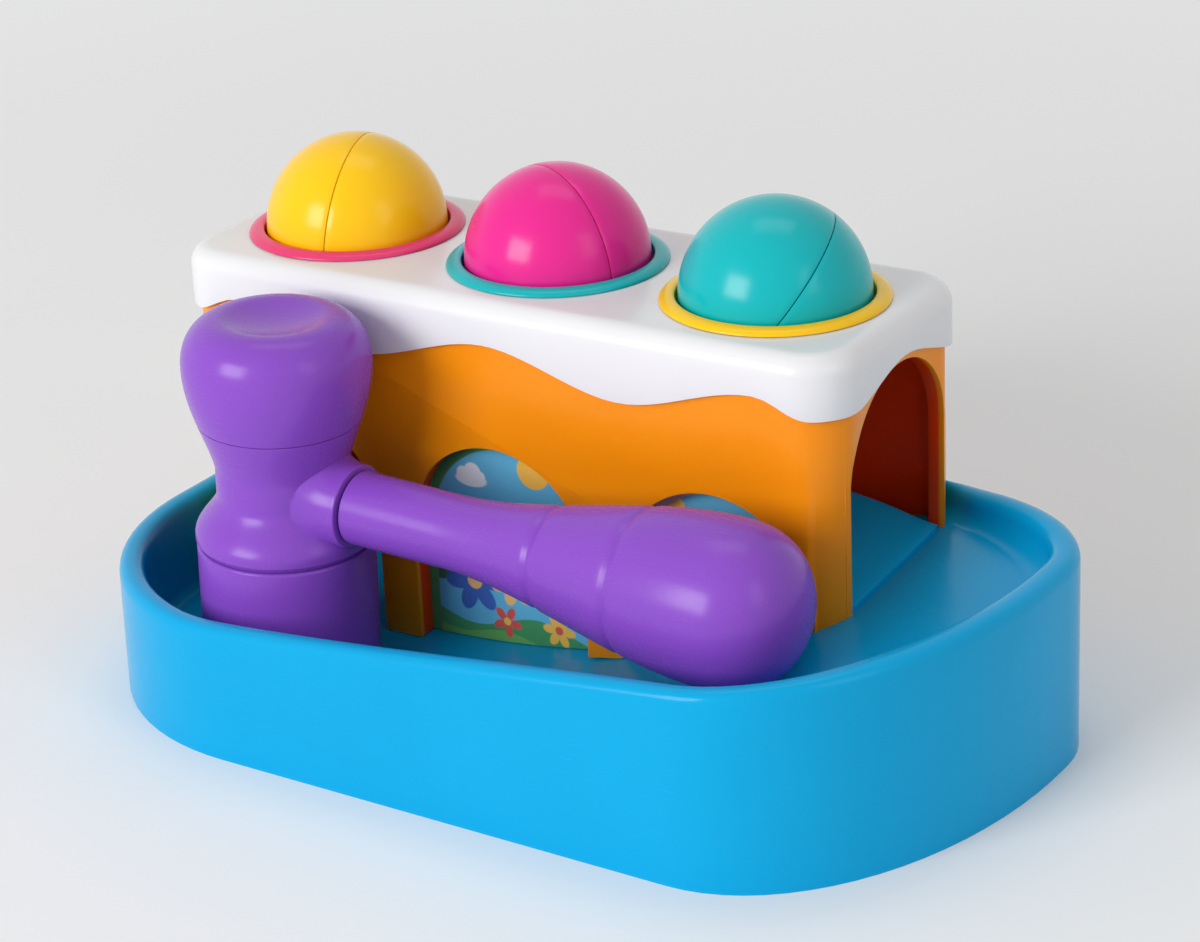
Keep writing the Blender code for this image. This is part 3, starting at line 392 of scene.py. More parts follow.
class Finish(Nodes):
    """A material that is built round its Principled shader."""

    def __init__(self, name):
        self.material = bpy.data.materials.new(name)
        self.material.use_nodes = True
        super().__init__(self.material.node_tree)
        self.shader = self.tree.nodes["Principled BSDF"]

    def place(self, centre=(0.0, 0.0, 0.0), stretch=(1.0, 1.0, 1.0)):
        """Object coordinates measured from a centre and stretched."""
        where = self.add("ShaderNodeTexCoord", output="Object")
        offset = [-value * scale for value, scale in zip(centre, stretch)]
        inputs = {"Vector": where, "Location": offset, "Scale": stretch}
        return self.add("ShaderNodeMapping", inputs=inputs)

    def noise(self, where, scale, detail=2.0):
        """Noise from 0 to 1."""
        inputs = {"Vector": where, "Scale": scale, "Detail": detail}
        return self.add("ShaderNodeTexNoise", inputs=inputs, output="Fac")

    def mix(self, factor, first, second):
        """A colour between two others."""
        shades = [(*shade, 1.0) if isinstance(shade, tuple) else shade for shade in (first, second)]
        settings = {"data_type": "RGBA"}
        return self.add("ShaderNodeMix", settings, {0: factor, 6: shades[0], 7: shades[1]}, output=2)

    def bump(self, height, strength, distance):
        """Lets a height shade the surface."""
        inputs = {"Height": height, "Strength": strength, "Distance": distance}
        self.fill(self.shader.inputs["Normal"], self.add("ShaderNodeBump", inputs=inputs))

    def set(self, **values):
        """Fills the shader's sockets by their names in small letters."""
        for name, value in values.items():
            self.fill(self.shader.inputs[name.replace("_", " ").title()], value)


def inside_shade_mask(finish):
    """From 0 on the outside of the body's rounded plan to 1 on the inner side of its walls: the mask
    of the body's painted shade.
    """
    middle = {"Vector": finish.place(bench_centre)}
    x = finish.add("ShaderNodeSeparateXYZ", inputs=middle, output="X").size() - body_half_length
    y = finish.add("ShaderNodeSeparateXYZ", inputs=middle, output="Y").size() - body_half_depth
    past_x, past_y = ((edge + body_corner_radius).most(0.0) for edge in (x, y))
    round_part = (past_x ** 2 + past_y ** 2) ** 0.5
    straight_part = (x.most(y) + body_corner_radius).least(0.0)
    depth = body_corner_radius - round_part - straight_part
    return (2 * depth / sizes().body_wall - 1).clamped()


def shade(rgb, factor):
    """The same colour, darker or lighter."""
    return tuple(min(channel * factor, 1.0) for channel in rgb)


def plastic(name, rgb, gloss=0.20, grain=0.05, shine=0.24, spread_inside=0.0, deep=None):
    """Gloss moulded plastic: slow flow tint, a fine orange peel, hairlines and a haze in its shine,
    and, where a deep colour is given, a painted shade that turns the inner side of the walls to that
    deeper colour.
    """
    finish = Finish(name)
    where = finish.place()
    flow = finish.noise(where, scale=16.0, detail=3.0)
    haze = finish.noise(where, scale=55.0, detail=4.0)
    peel = finish.noise(where, scale=420.0, detail=2.0)
    hairs = finish.noise(finish.place(stretch=(1.0, 24.0, 9.0)), scale=60.0, detail=3.0)
    hairline = (1 - (hairs - 0.5).size() * 60.0).clamped()
    tint = finish.mix(flow, shade(rgb, 0.93), shade(rgb, 1.05))
    # Painted shade: the inner side of the body's walls takes the deeper red of the shaded inside
    if deep:
        tint = finish.mix(inside_shade_mask(finish), tint, tuple(getattr(colours(), deep)))
    finish.set(
        base_color=tint,
        roughness=(gloss + (haze - 0.5) * 0.14 + hairline * 0.08).clamped(),
    )
    finish.shader.inputs["Specular IOR Level"].default_value = shine
    if spread_inside:
        finish.set(subsurface_weight=spread_inside, subsurface_scale=spread_reach)
        finish.set(subsurface_radius=spread_tint)
    finish.bump(peel * grain + haze * 0.5 - hairline * 0.03, strength=0.10, distance=0.0006)
    return finish.material


def satin_plastic(name, rgb):
    """Plain moulding of a hidden piece, with the fine grain of a spark-eroded mould."""
    finish = Finish(name)
    where = finish.place()
    grain = finish.noise(where, scale=1500.0, detail=3.0)
    flow = finish.noise(where, scale=30.0, detail=2.0)
    finish.set(base_color=finish.mix(flow, shade(rgb, 0.90), rgb), roughness=grain * 0.2 + 0.38)
    finish.bump(grain, strength=0.25, distance=0.0002)
    return finish.material


def elastomer(name, rgb):
    """Soft moulding with a dull and slightly dusty face."""
    finish = Finish(name)
    where = finish.place()
    dust = finish.noise(where, scale=700.0, detail=4.0)
    flow = finish.noise(where, scale=45.0, detail=2.0)
    finish.set(base_color=finish.mix(flow, shade(rgb, 0.86), rgb), roughness=dust * 0.25 + 0.48)
    finish.bump(dust, strength=0.20, distance=0.0002)
    return finish.material


def zinc_steel(name, rgb):
    """Zinc plating with its crystal patches and a fine brushed haze."""
    finish = Finish(name)
    where = finish.place()
    cells = {"Vector": where, "Scale": 1300.0}
    spangle = finish.add("ShaderNodeTexVoronoi", inputs=cells, output="Color")
    patch = finish.add("ShaderNodeSeparateColor", inputs={"Color": spangle})
    haze = finish.noise(where, scale=900.0, detail=3.0)
    tint = finish.mix(patch, shade(rgb, 0.82), rgb)
    finish.set(base_color=tint, metallic=1.0, roughness=haze * 0.2 + 0.22)
    finish.bump(haze, strength=0.15, distance=0.0001)
    return finish.material


class Print:
    """A printed picture on an upright panel: flat shapes laid over each other from back to front.

    Their x and z are metres from the middle of the arch's round."""

    edge = 2500.0

    def __init__(self, name, centre):
        self.finish = Finish(name)
        where = {"Vector": self.finish.place(centre)}
        self.x = self.finish.add("ShaderNodeSeparateXYZ", inputs=where, output="X")
        self.z = self.finish.add("ShaderNodeSeparateXYZ", inputs=where, output="Z")
        self.picture = None

    def ellipse(self, x, z, width, height, turn=0.0):
        """Mask of an ellipse, soft over a fraction of a millimetre."""
        cosine = math.cos(turn)
        sine = math.sin(turn)
        along = (self.x - x) * cosine + (self.z - z) * sine
        across = (self.z - z) * cosine - (self.x - x) * sine
        reach = ((along / width) ** 2 + (across / height) ** 2) ** 0.5
        return ((1 - reach) * (min(width, height) * self.edge)).clamped()

    def disc(self, x, z, radius):
        """Mask of a disc."""
        return self.ellipse(x, z, radius, radius)

    def hill(self, base, swell, wavelength, start):
        """Mask of everything under a wavy line."""
        line = (self.x * (2 * math.pi / wavelength) + start).sine() * swell + base
        return ((line - self.z) * self.edge).clamped()

    def arch(self, radius, spring):
        """Mask of everything outside an arch."""
        above = (self.z - spring).most(0.0)
        reach = (self.x ** 2 + above ** 2) ** 0.5
        return ((reach - radius) * self.edge).clamped()

    def lay(self, mask, rgb):
        """Lays a colour over the picture where its mask is 1. The first colour fills the panel."""
        self.picture = rgb if self.picture is None else self.finish.mix(mask, self.picture, rgb)

    def done(self):
        """The print's paper, with its fine screen and sheen."""
        where = self.finish.place()
        screen = self.finish.noise(where, scale=2400.0, detail=1.0)
        sheen = self.finish.noise(where, scale=70.0, detail=3.0)
        paper = self.finish.mix(screen * 0.08, self.picture, (1.0, 1.0, 1.0))
        self.finish.set(base_color=paper, roughness=sheen * 0.15 + 0.24, coat_weight=0.15)
        self.finish.bump(sheen, strength=0.05, distance=0.0003)
        return self.finish.material


# Colours and proportions of the prints
sky = (0.100, 0.480, 0.720)
cloud_white = (0.860, 0.900, 0.920)
leaf_dark = (0.010, 0.150, 0.060)
leaf_green = (0.030, 0.300, 0.070)
meadow_green = (0.120, 0.420, 0.060)
sun_yellow = (0.950, 0.520, 0.040)
petal_red = (0.720, 0.070, 0.040)
petal_blue = (0.020, 0.110, 0.480)
sand = (0.900, 0.500, 0.160)
border_cream = (0.820, 0.760, 0.600)
cloud_base = 0.42
cloud_puffs = ((-0.45, 0.25, 0.42), (0.10, 0.42, 0.52), (0.52, 0.20, 0.36))
petal_reach = 0.58
petal_length = 0.50
petal_width = 0.30
petal_turn = 60
heart_share = 0.28
leaf_width = 0.34
green_border = 0.0035
cream_border = 0.0030


def cloud(picture, x, z, size):
    """A flat ellipse with three round puffs on it."""
    mask = picture.ellipse(x, z, size, size * cloud_base)
    for shift, lift, share in cloud_puffs:
        mask = mask.most(picture.disc(x + size * shift, z + size * lift, size * share))
    picture.lay(mask, cloud_white)


def star(picture, x, z, reach, turns, length, width, rgb):
    """Ellipses round a point, each turned to its own side."""
    mask = None
    for turn in turns:
        middle = (x + reach * math.cos(turn), z + reach * math.sin(turn))
        ray = picture.ellipse(*middle, length, width, turn)
        mask = ray if mask is None else mask.most(ray)
    picture.lay(mask, rgb)


def flower(picture, x, z, size, petals, rgb, heart):
    """Petals round a heart."""
    turns = [2 * math.pi * number / petals + x * petal_turn for number in range(petals)]
    star(picture, x, z, size * petal_reach, turns, size * petal_length, size * petal_width, rgb)
    picture.lay(picture.disc(x, z, size * heart_share), heart)


def leaves(picture, x, z, size, turns, rgb):
    """A tuft of leaves."""
    star(picture, x, z, size, turns, size, size * leaf_width, rgb)


def garden_print(name, centre):
    """Flowers on a meadow under the sun and clouds, inside a green border."""
    picture = Print(name, centre)
    picture.lay(None, sky)
    cloud(picture, 0.013, 0.004, 0.0085)
    cloud(picture, -0.014, 0.017, 0.0065)
    cloud(picture, 0.015, -0.021, 0.0085)
    picture.lay(picture.disc(0.010, 0.024, 0.0062), sun_yellow)
    picture.lay(picture.hill(-0.031, 0.0030, 0.050, 0.4), leaf_green)
    picture.lay(picture.hill(-0.036, 0.0015, 0.036, 2.2), meadow_green)
    leaves(picture, -0.025, -0.020, 0.0066, (0.3, 1.2, 2.1, 2.9), leaf_dark)
    leaves(picture, 0.026, -0.010, 0.0056, (0.6, 1.6, 2.5), leaf_dark)
    flower(picture, -0.015, -0.019, 0.0108, 6, petal_blue, sand)
    flower(picture, 0.000, -0.016, 0.0088, 7, sand, petal_red)
    flower(picture, -0.003, -0.031, 0.0056, 5, petal_red, sun_yellow)
    flower(picture, 0.017, -0.030, 0.0060, 6, sun_yellow, petal_red)
    picture.lay(picture.arch(sizes().arch_width / 2 - green_border, 0.0), leaf_green)
    return picture.done()


def pond_print(name, centre):
    """A pond with leaves and blossoms, inside a cream border."""
    picture = Print(name, centre)
    picture.lay(None, sky)
    cloud(picture, -0.012, 0.010, 0.0080)
    picture.lay(picture.disc(-0.018, 0.022, 0.0050), sun_yellow)
    picture.lay(picture.hill(-0.006, 0.0040, 0.060, 1.4), leaf_green)
    picture.lay(picture.hill(-0.014, 0.0012, 0.014, 0.0), petal_blue)
    picture.lay(picture.hill(-0.026, 0.0030, 0.045, 3.0), meadow_green)
    leaves(picture, 0.022, -0.004, 0.0060, (0.5, 1.4, 2.4), leaf_dark)
    flower(picture, 0.008, -0.015, 0.0078, 7, petal_red, sun_yellow)
    flower(picture, -0.016, -0.022, 0.0070, 6, sand, petal_red)
    picture.lay(picture.arch(sizes().arch_width / 2 - cream_border, 0.0), border_cream)
    return picture.done()


# Each finish's maker, its material's name, its colour among the settings and its own amounts
finish_makers = {
    "tray": (plastic, "blue_gloss", "tray", {"shine": 0.14}),
    # The body's deep colour is a painted shade on the inner side of its walls
    "body": (plastic, "orange_gloss", "body", {"spread_inside": 0.25, "deep": "body_deep"}),
    "deck": (plastic, "white_gloss", "deck", {"gloss": 0.18}),
    "pink": (plastic, "pink_gloss", "pink", {}),
    "teal": (plastic, "teal_gloss", "teal", {}),
    "yellow": (plastic, "yellow_gloss", "yellow", {}),
    "magenta": (plastic, "magenta_gloss", "magenta", {}),
    "purple": (plastic, "purple_gloss", "purple", {"gloss": 0.24, "grain": 0.30}),
    "hidden": (satin_plastic, "white_satin", "deck", {}),
    "elastomer": (elastomer, "soft_elastomer", "elastomer", {}),
    "steel": (zinc_steel, "zinc_steel", "steel", {}),
}
finish_cache = {}


def finish_for(name):
    """One of the bench's finishes, which is made when it's first asked for."""
    if name not in finish_cache:
        make, material, tint, settings = finish_makers[name]
        finish_cache[name] = make(material, tuple(getattr(colours(), tint)), **settings)
    return finish_cache[name]


# Modelling helpers

def only(obj):
    """Makes one object the selected and active one."""
    bpy.ops.object.select_all(action="DESELECT")
    obj.select_set(True)
    bpy.context.view_layer.objects.active = obj


def added(name):
    """Names the primitive that was just added and applies its place to its mesh."""
    obj = bpy.context.object
    obj.name = name
    obj.data.name = name
    only(obj)
    bpy.ops.object.transform_apply(location=True, rotation=True, scale=True)
    return obj


@contextmanager
def editing(obj, kind="VERT"):
    """Edit mode on one object, with nothing selected."""
    only(obj)
    bpy.ops.object.mode_set(mode="EDIT")
    bpy.ops.mesh.select_mode(type=kind)
    bpy.ops.mesh.select_all(action="DESELECT")
    yield
    bpy.ops.object.mode_set(mode="OBJECT")


def pick(obj, kind, test):
    """Selects the verts, edges or faces that pass a test."""
    cage = bmesh.from_edit_mesh(obj.data)
    for part in getattr(cage, kind):
        part.select_set(bool(test(part)))
    cage.select_flush_mode()
    bmesh.update_edit_mesh(obj.data)


def move_verts(obj, place):
    """Moves every vertex of the object in edit mode to the place that a function gives."""
    cage = bmesh.from_edit_mesh(obj.data)
    for vert in cage.verts:
        vert.co = place(vert.co)
    bmesh.update_edit_mesh(obj.data)


def weld(obj):
    """Merges what lies together and points every face outwards."""
    with editing(obj):
        bpy.ops.mesh.select_all(action="SELECT")
        bpy.ops.mesh.remove_doubles(threshold=weld_distance)
        bpy.ops.mesh.normals_make_consistent(inside=False)


def apply_modifier(obj, kind, **settings):
    """Adds a modifier with its settings and applies it."""
    modifier = obj.modifiers.new(kind.lower(), kind)
    for name, value in settings.items():
        setattr(modifier, name, value)
    only(obj)
    bpy.ops.object.modifier_apply(modifier=modifier.name)


def combine(obj, tool, operation):
    """Cuts or joins a tool and takes the tool away."""
    apply_modifier(obj, "BOOLEAN", object=tool, operation=operation, solver="EXACT")
    bpy.data.objects.remove(tool, do_unlink=True)


def cut(obj, tool):
    """Takes a tool out of an object."""
    combine(obj, tool, "DIFFERENCE")


def unite(obj, tool):
    """Joins a tool to an object."""
    combine(obj, tool, "UNION")


def soften(obj, width, steps=2, angle=45):
    """Rounds every sharp edge."""
    limit = {"limit_method": "ANGLE", "angle_limit": math.radians(angle)}
    apply_modifier(obj, "BEVEL", width=width, segments=steps, use_clamp_overlap=True, **limit)


def gathered(name, objects):
    """Several loose solids as one object, for use as a tool."""
    only(objects[0])
    for obj in objects:
        obj.select_set(True)
    if len(objects) > 1:
        bpy.ops.object.join()
    bpy.context.object.name = name
    return bpy.context.object


def rod(name, x, y, radius, low, high, steps=rod_steps):
    """An upright cylinder."""
    bpy.ops.object.select_all(action="DESELECT")
    bpy.ops.mesh.primitive_cylinder_add(
        vertices=steps, radius=radius, depth=high - low, location=(x, y, (low + high) / 2)
    )
    return added(name)


def drill(obj, places, radius, low, high, steps=small_steps):
    """Cuts upright holes at several places."""
    cut(obj, gathered("drills", [rod("drill", x, y, radius, low, high, steps) for x, y in places]))


def block(name, low, high):
    """A box from its lowest to its highest corner."""
    bpy.ops.object.select_all(action="DESELECT")
    size = Vector(high) - Vector(low)
    bpy.ops.mesh.primitive_cube_add(size=1.0, location=(Vector(low) + Vector(high)) / 2, scale=size)
    return added(name)


def turned(name, profile, steps):
    """A line drawn from point to point, as (radius, height), and spun about the Z axis."""
    bpy.ops.object.select_all(action="DESELECT")
    bpy.ops.mesh.primitive_plane_add(size=0.01)
    obj = added(name)
    with editing(obj):
        bpy.ops.mesh.select_all(action="SELECT")
        bpy.ops.mesh.merge(type="CENTER")
        bpy.ops.transform.translate(value=(profile[0][0], 0.0, profile[0][1]))
        for (radius, height), (next_radius, next_height) in zip(profile, profile[1:]):
            step = (next_radius - radius, 0.0, next_height - height)
            bpy.ops.mesh.extrude_vertices_move(TRANSFORM_OT_translate={"value": step})
        bpy.ops.mesh.select_all(action="SELECT")
        origin = (0.0, 0.0, 0.0)
        bpy.ops.mesh.spin(steps=steps, angle=2 * math.pi, center=origin, axis=(0.0, 0.0, 1.0))
    weld(obj)
    return obj


def settle(obj, matrix):
    """Moves a piece's mesh and leaves its object at the origin."""
    obj.data.transform(matrix)
    obj.data.update()


def hand_over(obj, finish, slot, body, nodes, matrix=to_bench):
    """Puts a finished piece in its place, shades it and lets it stand for its nodes."""
    settle(obj, matrix)
    only(obj)
    bpy.ops.object.shade_smooth_by_angle(angle=crease_angle)
    obj.data.materials.clear()
    obj.data.materials.append(finish)
    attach(obj, body)
    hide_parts(*nodes)
    return obj


# Curves that the shapes follow

def ease(share):
    """From 0 to 1 with a soft start and end."""
    share = min(max(share, 0.0), 1.0)
    return share * share * (3 - 2 * share)


def spread(low, high, count):
    """Evenly spaced values with both ends, in the given number of steps."""
    return [low + (high - low) * i / count for i in range(count + 1)]


def arc(centre, radius, start, end, steps):
    """Points of (x, y) on an arc from one angle to another."""
    return [
        (centre[0] + radius * math.cos(angle), centre[1] + radius * math.sin(angle))
        for angle in spread(start, end, steps)
    ]


def corner(centre, radius, start, steps=6):
    """A quarter round of a profile, turning towards the given start angle plus a right angle."""
    return arc(centre, radius, start, start + math.pi / 2, steps)


def rounded_plan(x_low, x_high, y_low, y_high, radii):
    """The tray's plan: its front, right, back and left edges, each ending in a quarter oval."""
    corners = (
        (x_high - radii[0][0], y_low + radii[0][1], radii[0], -math.pi / 2),
        (x_high - radii[1][0], y_high - radii[1][1], radii[1], 0.0),
        (x_low + radii[2][0], y_high - radii[2][1], radii[2], math.pi / 2),
        (x_low + radii[3][0], y_low + radii[3][1], radii[3], math.pi),
    )
    arcs = []
    for x, y, (across, deep), start in corners:
        turns = spread(start, start + math.pi / 2, corner_steps)
        arcs.append([(x + across * math.cos(turn), y + deep * math.sin(turn)) for turn in turns])
    points = []
    for number, steps in enumerate(tray_edge_steps):
        start = Vector(arcs[number - 1][-1])
        end = Vector(arcs[number][0])
        points += [tuple(start.lerp(end, i / steps)) for i in range(1, steps)]
        points += arcs[number]
    return points


def plan_normals(points):
    """The outward normal at each point of a plan."""
    normals = []
    for number, _ in enumerate(points):
        before = Vector(points[number - 1])
        after = Vector(points[(number + 1) % len(points)])
        along = (after - before).normalized()
        normals.append(Vector((along.y, -along.x)))
    return normals


def offset_plan(points, distances):
    """A plan moved outwards by a distance of its own at each point."""
    return [
        (x + normal.x * distance, y + normal.y * distance)
        for (x, y), normal, distance in zip(points, plan_normals(points), distances)
    ]


channel_front = -body_half_depth - channel_width
channel_middle = -body_half_depth - channel_width / 2
floor_bend = deck_half_length - floor_bend_inset
floor_end = deck_half_length + floor_flat_reach


def floor_height(x, y):
    """The floor that the balls roll on: low at the left of the channel, high in the basin."""
    first = floor_bend + floor_rise_start
    second = floor_end - floor_bend
    bend = (floor_high - floor_low) / (first * first + first * second)
    run = min(max(x + floor_rise_start, 0.0), first)
    rest = min(max(x - floor_bend, 0.0), second)
    rise = bend * run * run + 2 * bend * first * rest - bend * first * rest * rest / second
    bank = bank_share * (y - channel_middle) * ease((x - bank_start) / bank_length)
    return floor_low + rise + bank


def rim_height(x):
    """Height of the rim, which rises to the right."""
    share = (x + rim_rise_start) / (rim_rise_end + rim_rise_start)
    plain = min(max(share, 0.0), 1.0)
    return rim_low + (rim_high - rim_low) * (plain + ease(share)) / 2


def ramp_height(x):
    """Height of the chute's lowest line, which falls to the right end."""
    low = floor_height(ramp_right, 0.0) + seat_gap + sizes().ramp_wall + seat_gap
    share = (x + hole_pitch) / (ramp_right + hole_pitch)
    return ramp_left_height + (low - ramp_left_height) * share


def skirt_height(x, y):
    """Height of the skirt's wavy edge: lobes at the posts and corners, crests over the arches."""
    size = sizes()
    low = deck_height - size.skirt_low
    high = deck_height - size.skirt_high
    corner_low = deck_height - size.skirt_corner
    lobe = hole_pitch * skirt_lobe_share
    crest = hole_pitch * skirt_crest_share
    turn = deck_half_length - size.deck_corner / 2
    reach = abs(x)
    if reach < lobe:
        return high + (low - high) * ease(reach / lobe)
    if reach < crest:
        return low + (high - low) * ease((reach - lobe) / (crest - lobe))
    if reach < turn:
        return high + (corner_low - high) * ease((reach - crest) / (turn - crest))
    side = deck_half_depth - size.deck_corner / 2
    end_high = deck_height - size.skirt_end_high
    return end_high + (corner_low - end_high) * ease(abs(y) / side)


# Tray

def tray_plans():
    """The tray's outer plan under its rim and the plan of its inner wall."""
    outer = rounded_plan(
        tray_left + tray_flare,
        tray_right - tray_flare,
        tray_front + tray_flare,
        tray_back,
        (basin_front_curve, basin_back_curve, (back_radius_left,) * 2, (front_radius_left,) * 2),
    )
    pocket_back = body_half_depth + 2 * seat_gap
    front_band = channel_front - tray_front - tray_flare
    back_band = tray_back - pocket_back
    inner = rounded_plan(
        tray_left + tray_flare + tray_end_band,
        tray_right - tray_flare - tray_basin_band,
        channel_front,
        pocket_back,
        (
            (basin_front_curve[0] - tray_basin_band, basin_front_curve[1] - front_band),
            (basin_back_curve[0] - tray_basin_band, basin_back_curve[1] - back_band),
            (body_corner_radius, body_corner_radius),
            (front_radius_left - tray_end_band, front_radius_left - front_band),
        ),
    )
    step_back = tray_back - basin_back_band
    stepped = []
    for x, y in inner:
        share = ease((x - (body_half_length - tray_end_band)) / (2 * tray_end_band))
        limit = pocket_back + (step_back - pocket_back) * share
        stepped.append((x, y * limit / pocket_back if y > 0 else y))
    return outer, stepped


def spine_reaches():
    """For every plan point, the x of the point that its floor line runs in to."""
    left = tray_left + front_radius_left
    right = tray_right - basin_front_curve[0]
    reaches = []
    starts = (left, right, right, left)
    ends = (right, right, left, left)
    for steps, start, end in zip(tray_edge_steps, starts, ends):
        reaches += [start + (end - start) * i / steps for i in range(1, steps)]
        reaches += [end] * (corner_steps + 1)
    return reaches


def at_height(points, heights):
    """A plan's points, each with its own height."""
    return [Vector((x, y, z)) for (x, y), z in zip(points, heights)]


def wall_fillets(inner):
    """Radius between floor and wall at each plan point: small in the channel, wide in the basin."""
    size = sizes()
    fillets = []
    for x, y in inner:
        growth = ease((x - fillet_start) / fillet_length)
        wanted = size.floor_fillet + (size.basin_fillet - size.floor_fillet) * growth
        room = rim_height(x) - rim_round - floor_height(x, y)
        fillets.append(min(wanted, room * fillet_room))
    return fillets


def floor_rings(edges, drop, shares):
    """Rings that carry the floor from a plan in to the line down its middle."""
    middle = (channel_front + body_half_depth) / 2
    rings = []
    for share in shares:
        ring = []
        for (x, y), reach in zip(edges, spine_reaches()):
            point = Vector((x, y)).lerp(Vector((reach, middle)), share)
            ring.append(Vector((point.x, point.y, floor_height(point.x, point.y) - drop)))
        rings.append(ring)
    return rings


def tray_rings():
    """The tray's upper side, ring by ring from its foot over the rim and down to the floor."""
    outer, inner = tray_plans()
    flare = [tray_flare * (1 - max(normal.y, 0.0)) for normal in plan_normals(outer)]
    rims = [rim_height(x) for x, _ in outer]
    rings = []
    for share in spread(0.0, 1.0, wall_steps):
        points = offset_plan(outer, [distance * (1 - share) for distance in flare])
        rings.append(at_height(points, [(rim - rim_round) * share for rim in rims]))
    for angle in spread(0.0, math.pi, rim_steps)[1:]:
        across = (1 - math.cos(angle)) / 2
        rise = max(1 - abs(2 * across - 1) ** rim_power, 0.0) ** (1 / rim_power)
        points = [tuple(Vector(a).lerp(Vector(b), across)) for a, b in zip(outer, inner)]
        rings.append(at_height(points, [rim - rim_round * (1 - rise) for rim in rims]))
    fillets = wall_fillets(inner)
    for share in (0.5, 1.0):
        heights = []
        for (x, y), rim, fillet in zip(inner, rims, fillets):
            top = rim - rim_round
            heights.append(top + (floor_height(x, y) + fillet - top) * share)
        rings.append(at_height(inner, heights))
    for angle in spread(0.0, math.pi / 2, fillet_steps)[1:]:
        points = offset_plan(inner, [-fillet * (1 - math.cos(angle)) for fillet in fillets])
        lift = 1 - math.sin(angle)
        heights = [floor_height(*point) + fillet * lift for point, fillet in zip(points, fillets)]
        rings.append(at_height(points, heights))
    edges = offset_plan(inner, [-fillet for fillet in fillets])
    return rings + floor_rings(edges, 0.0, spread(0.0, 1.0, floor_steps)[1:])


def hollow_rings():
    """The hollow under the tray, which leaves a wall of even thickness."""
    outer, inner = tray_plans()
    wall_side = offset_plan(outer, [-tray_wall] * len(outer))
    rim_side = offset_plan(inner, [tray_wall] * len(inner))
    low, high, crown, root = [], [], [], []
    for number, (x, y) in enumerate(wall_side):
        band = (Vector(outer[number]) - Vector(inner[number])).length
        wide = band > hollow_band
        top = rim_height(outer[number][0]) - rim_round / 2 - tray_wall
        under = floor_height(*inner[number]) - tray_wall
        other = rim_side[number] if wide else (x, y)
        low.append(Vector((x, y, -overrun)))
        high.append(Vector((x, y, top if wide else under)))
        crown.append(Vector((*other, top if wide else under)))
        root.append(Vector((*other, under)))
    edges = offset_plan(inner, [-fillet for fillet in wall_fillets(inner)])
    return [low, high, crown, root] + floor_rings(edges, tray_wall, spread(0.0, 1.0, floor_steps))


def grown(name, rings):
    """A disc whose edge is extruded ring by ring, each ring then set in its own place."""
    bpy.ops.object.select_all(action="DESELECT")
    bpy.ops.mesh.primitive_circle_add(vertices=len(rings[0]), radius=0.1, fill_type="NGON")
    obj = added(name)
    order = obj.data.attributes.new("order", "INT", "POINT")
    order.data.foreach_set("value", list(range(len(rings[0]))))
    with editing(obj, "EDGE"):
        bpy.ops.mesh.select_all(action="SELECT")
        for number, ring in enumerate(rings):
            if number:
                bpy.ops.mesh.extrude_edges_move()
            cage = bmesh.from_edit_mesh(obj.data)
            turn = cage.verts.layers.int["order"]
            for vert in cage.verts:
                if vert.select:
                    vert.co = ring[vert[turn]]
            bmesh.update_edit_mesh(obj.data)
    obj.data.attributes.remove(obj.data.attributes["order"])
    weld(obj)
    return obj


def screw_row():
    """Places of the four bosses that join the tray, the body and the deck."""
    row = body_half_depth - screw_row_inset
    return [(x, y) for x in post_places for y in (-row, row)]


def leg_places():
    """Places of the ramp's three legs along the bench."""
    return [ramp_leg_inset - body_half_length, *post_places]


def floor_tool():
    """A block whose top lies just over the tray's floor, to trim what stands on it."""
    bpy.ops.object.select_all(action="DESELECT")
    reach = ramp_right + overrun
    depth = body_half_depth + overrun
    bpy.ops.mesh.primitive_grid_add(
        x_subdivisions=90, y_subdivisions=24, size=2.0, scale=(reach, depth, 1.0)
    )
    obj = added("floor_tool")
    with editing(obj, "FACE"):
        bpy.ops.mesh.select_all(action="SELECT")
        move_verts(obj, lambda co: Vector((co.x, co.y, floor_height(co.x, co.y) + seat_gap)))
        down = {"value": (0.0, 0.0, -floor_high)}
        bpy.ops.mesh.extrude_region_move(TRANSFORM_OT_translate=down)
    weld(obj)
    return obj


def build_tray():
    """The tray with its rim, hollow underside and screw holes."""
    tray = grown("tray_moulding", tray_rings())
    cut(tray, grown("tray_hollow", hollow_rings()))
    places = screw_row() + [(x, 0.0) for x in leg_places()]
    drill(tray, places, pilot_radius, 0.0, rim_high)
    hand_over(tray, finish_for("tray"), "tray_blue", "bench", ["tray_base"])


# Body

def arch_tool(name, x, y, radius, top, bottom, depth, faces_front):
    """A solid arch: half a cylinder whose flat underside is drawn down."""
    bpy.ops.object.select_all(action="DESELECT")
    spring = top - radius
    lying = (math.pi / 2, 0.0, 0.0) if faces_front else (0.0, math.pi / 2, 0.0)
    bpy.ops.mesh.primitive_cylinder_add(
        vertices=arch_steps, radius=radius, depth=depth, location=(x, y, spring), rotation=lying
    )
    obj = added(name)
    with editing(obj, "FACE"):
        bpy.ops.mesh.select_all(action="SELECT")
        bpy.ops.mesh.bisect(
            plane_co=(x, y, spring), plane_no=(0.0, 0.0, 1.0), use_fill=True, clear_inner=True
        )
        pick(obj, "faces", lambda face: face.normal.z < -0.99)
        down = {"value": (0.0, 0.0, bottom - spring)}
        bpy.ops.mesh.extrude_region_move(TRANSFORM_OT_translate=down)
    weld(obj)
    return obj


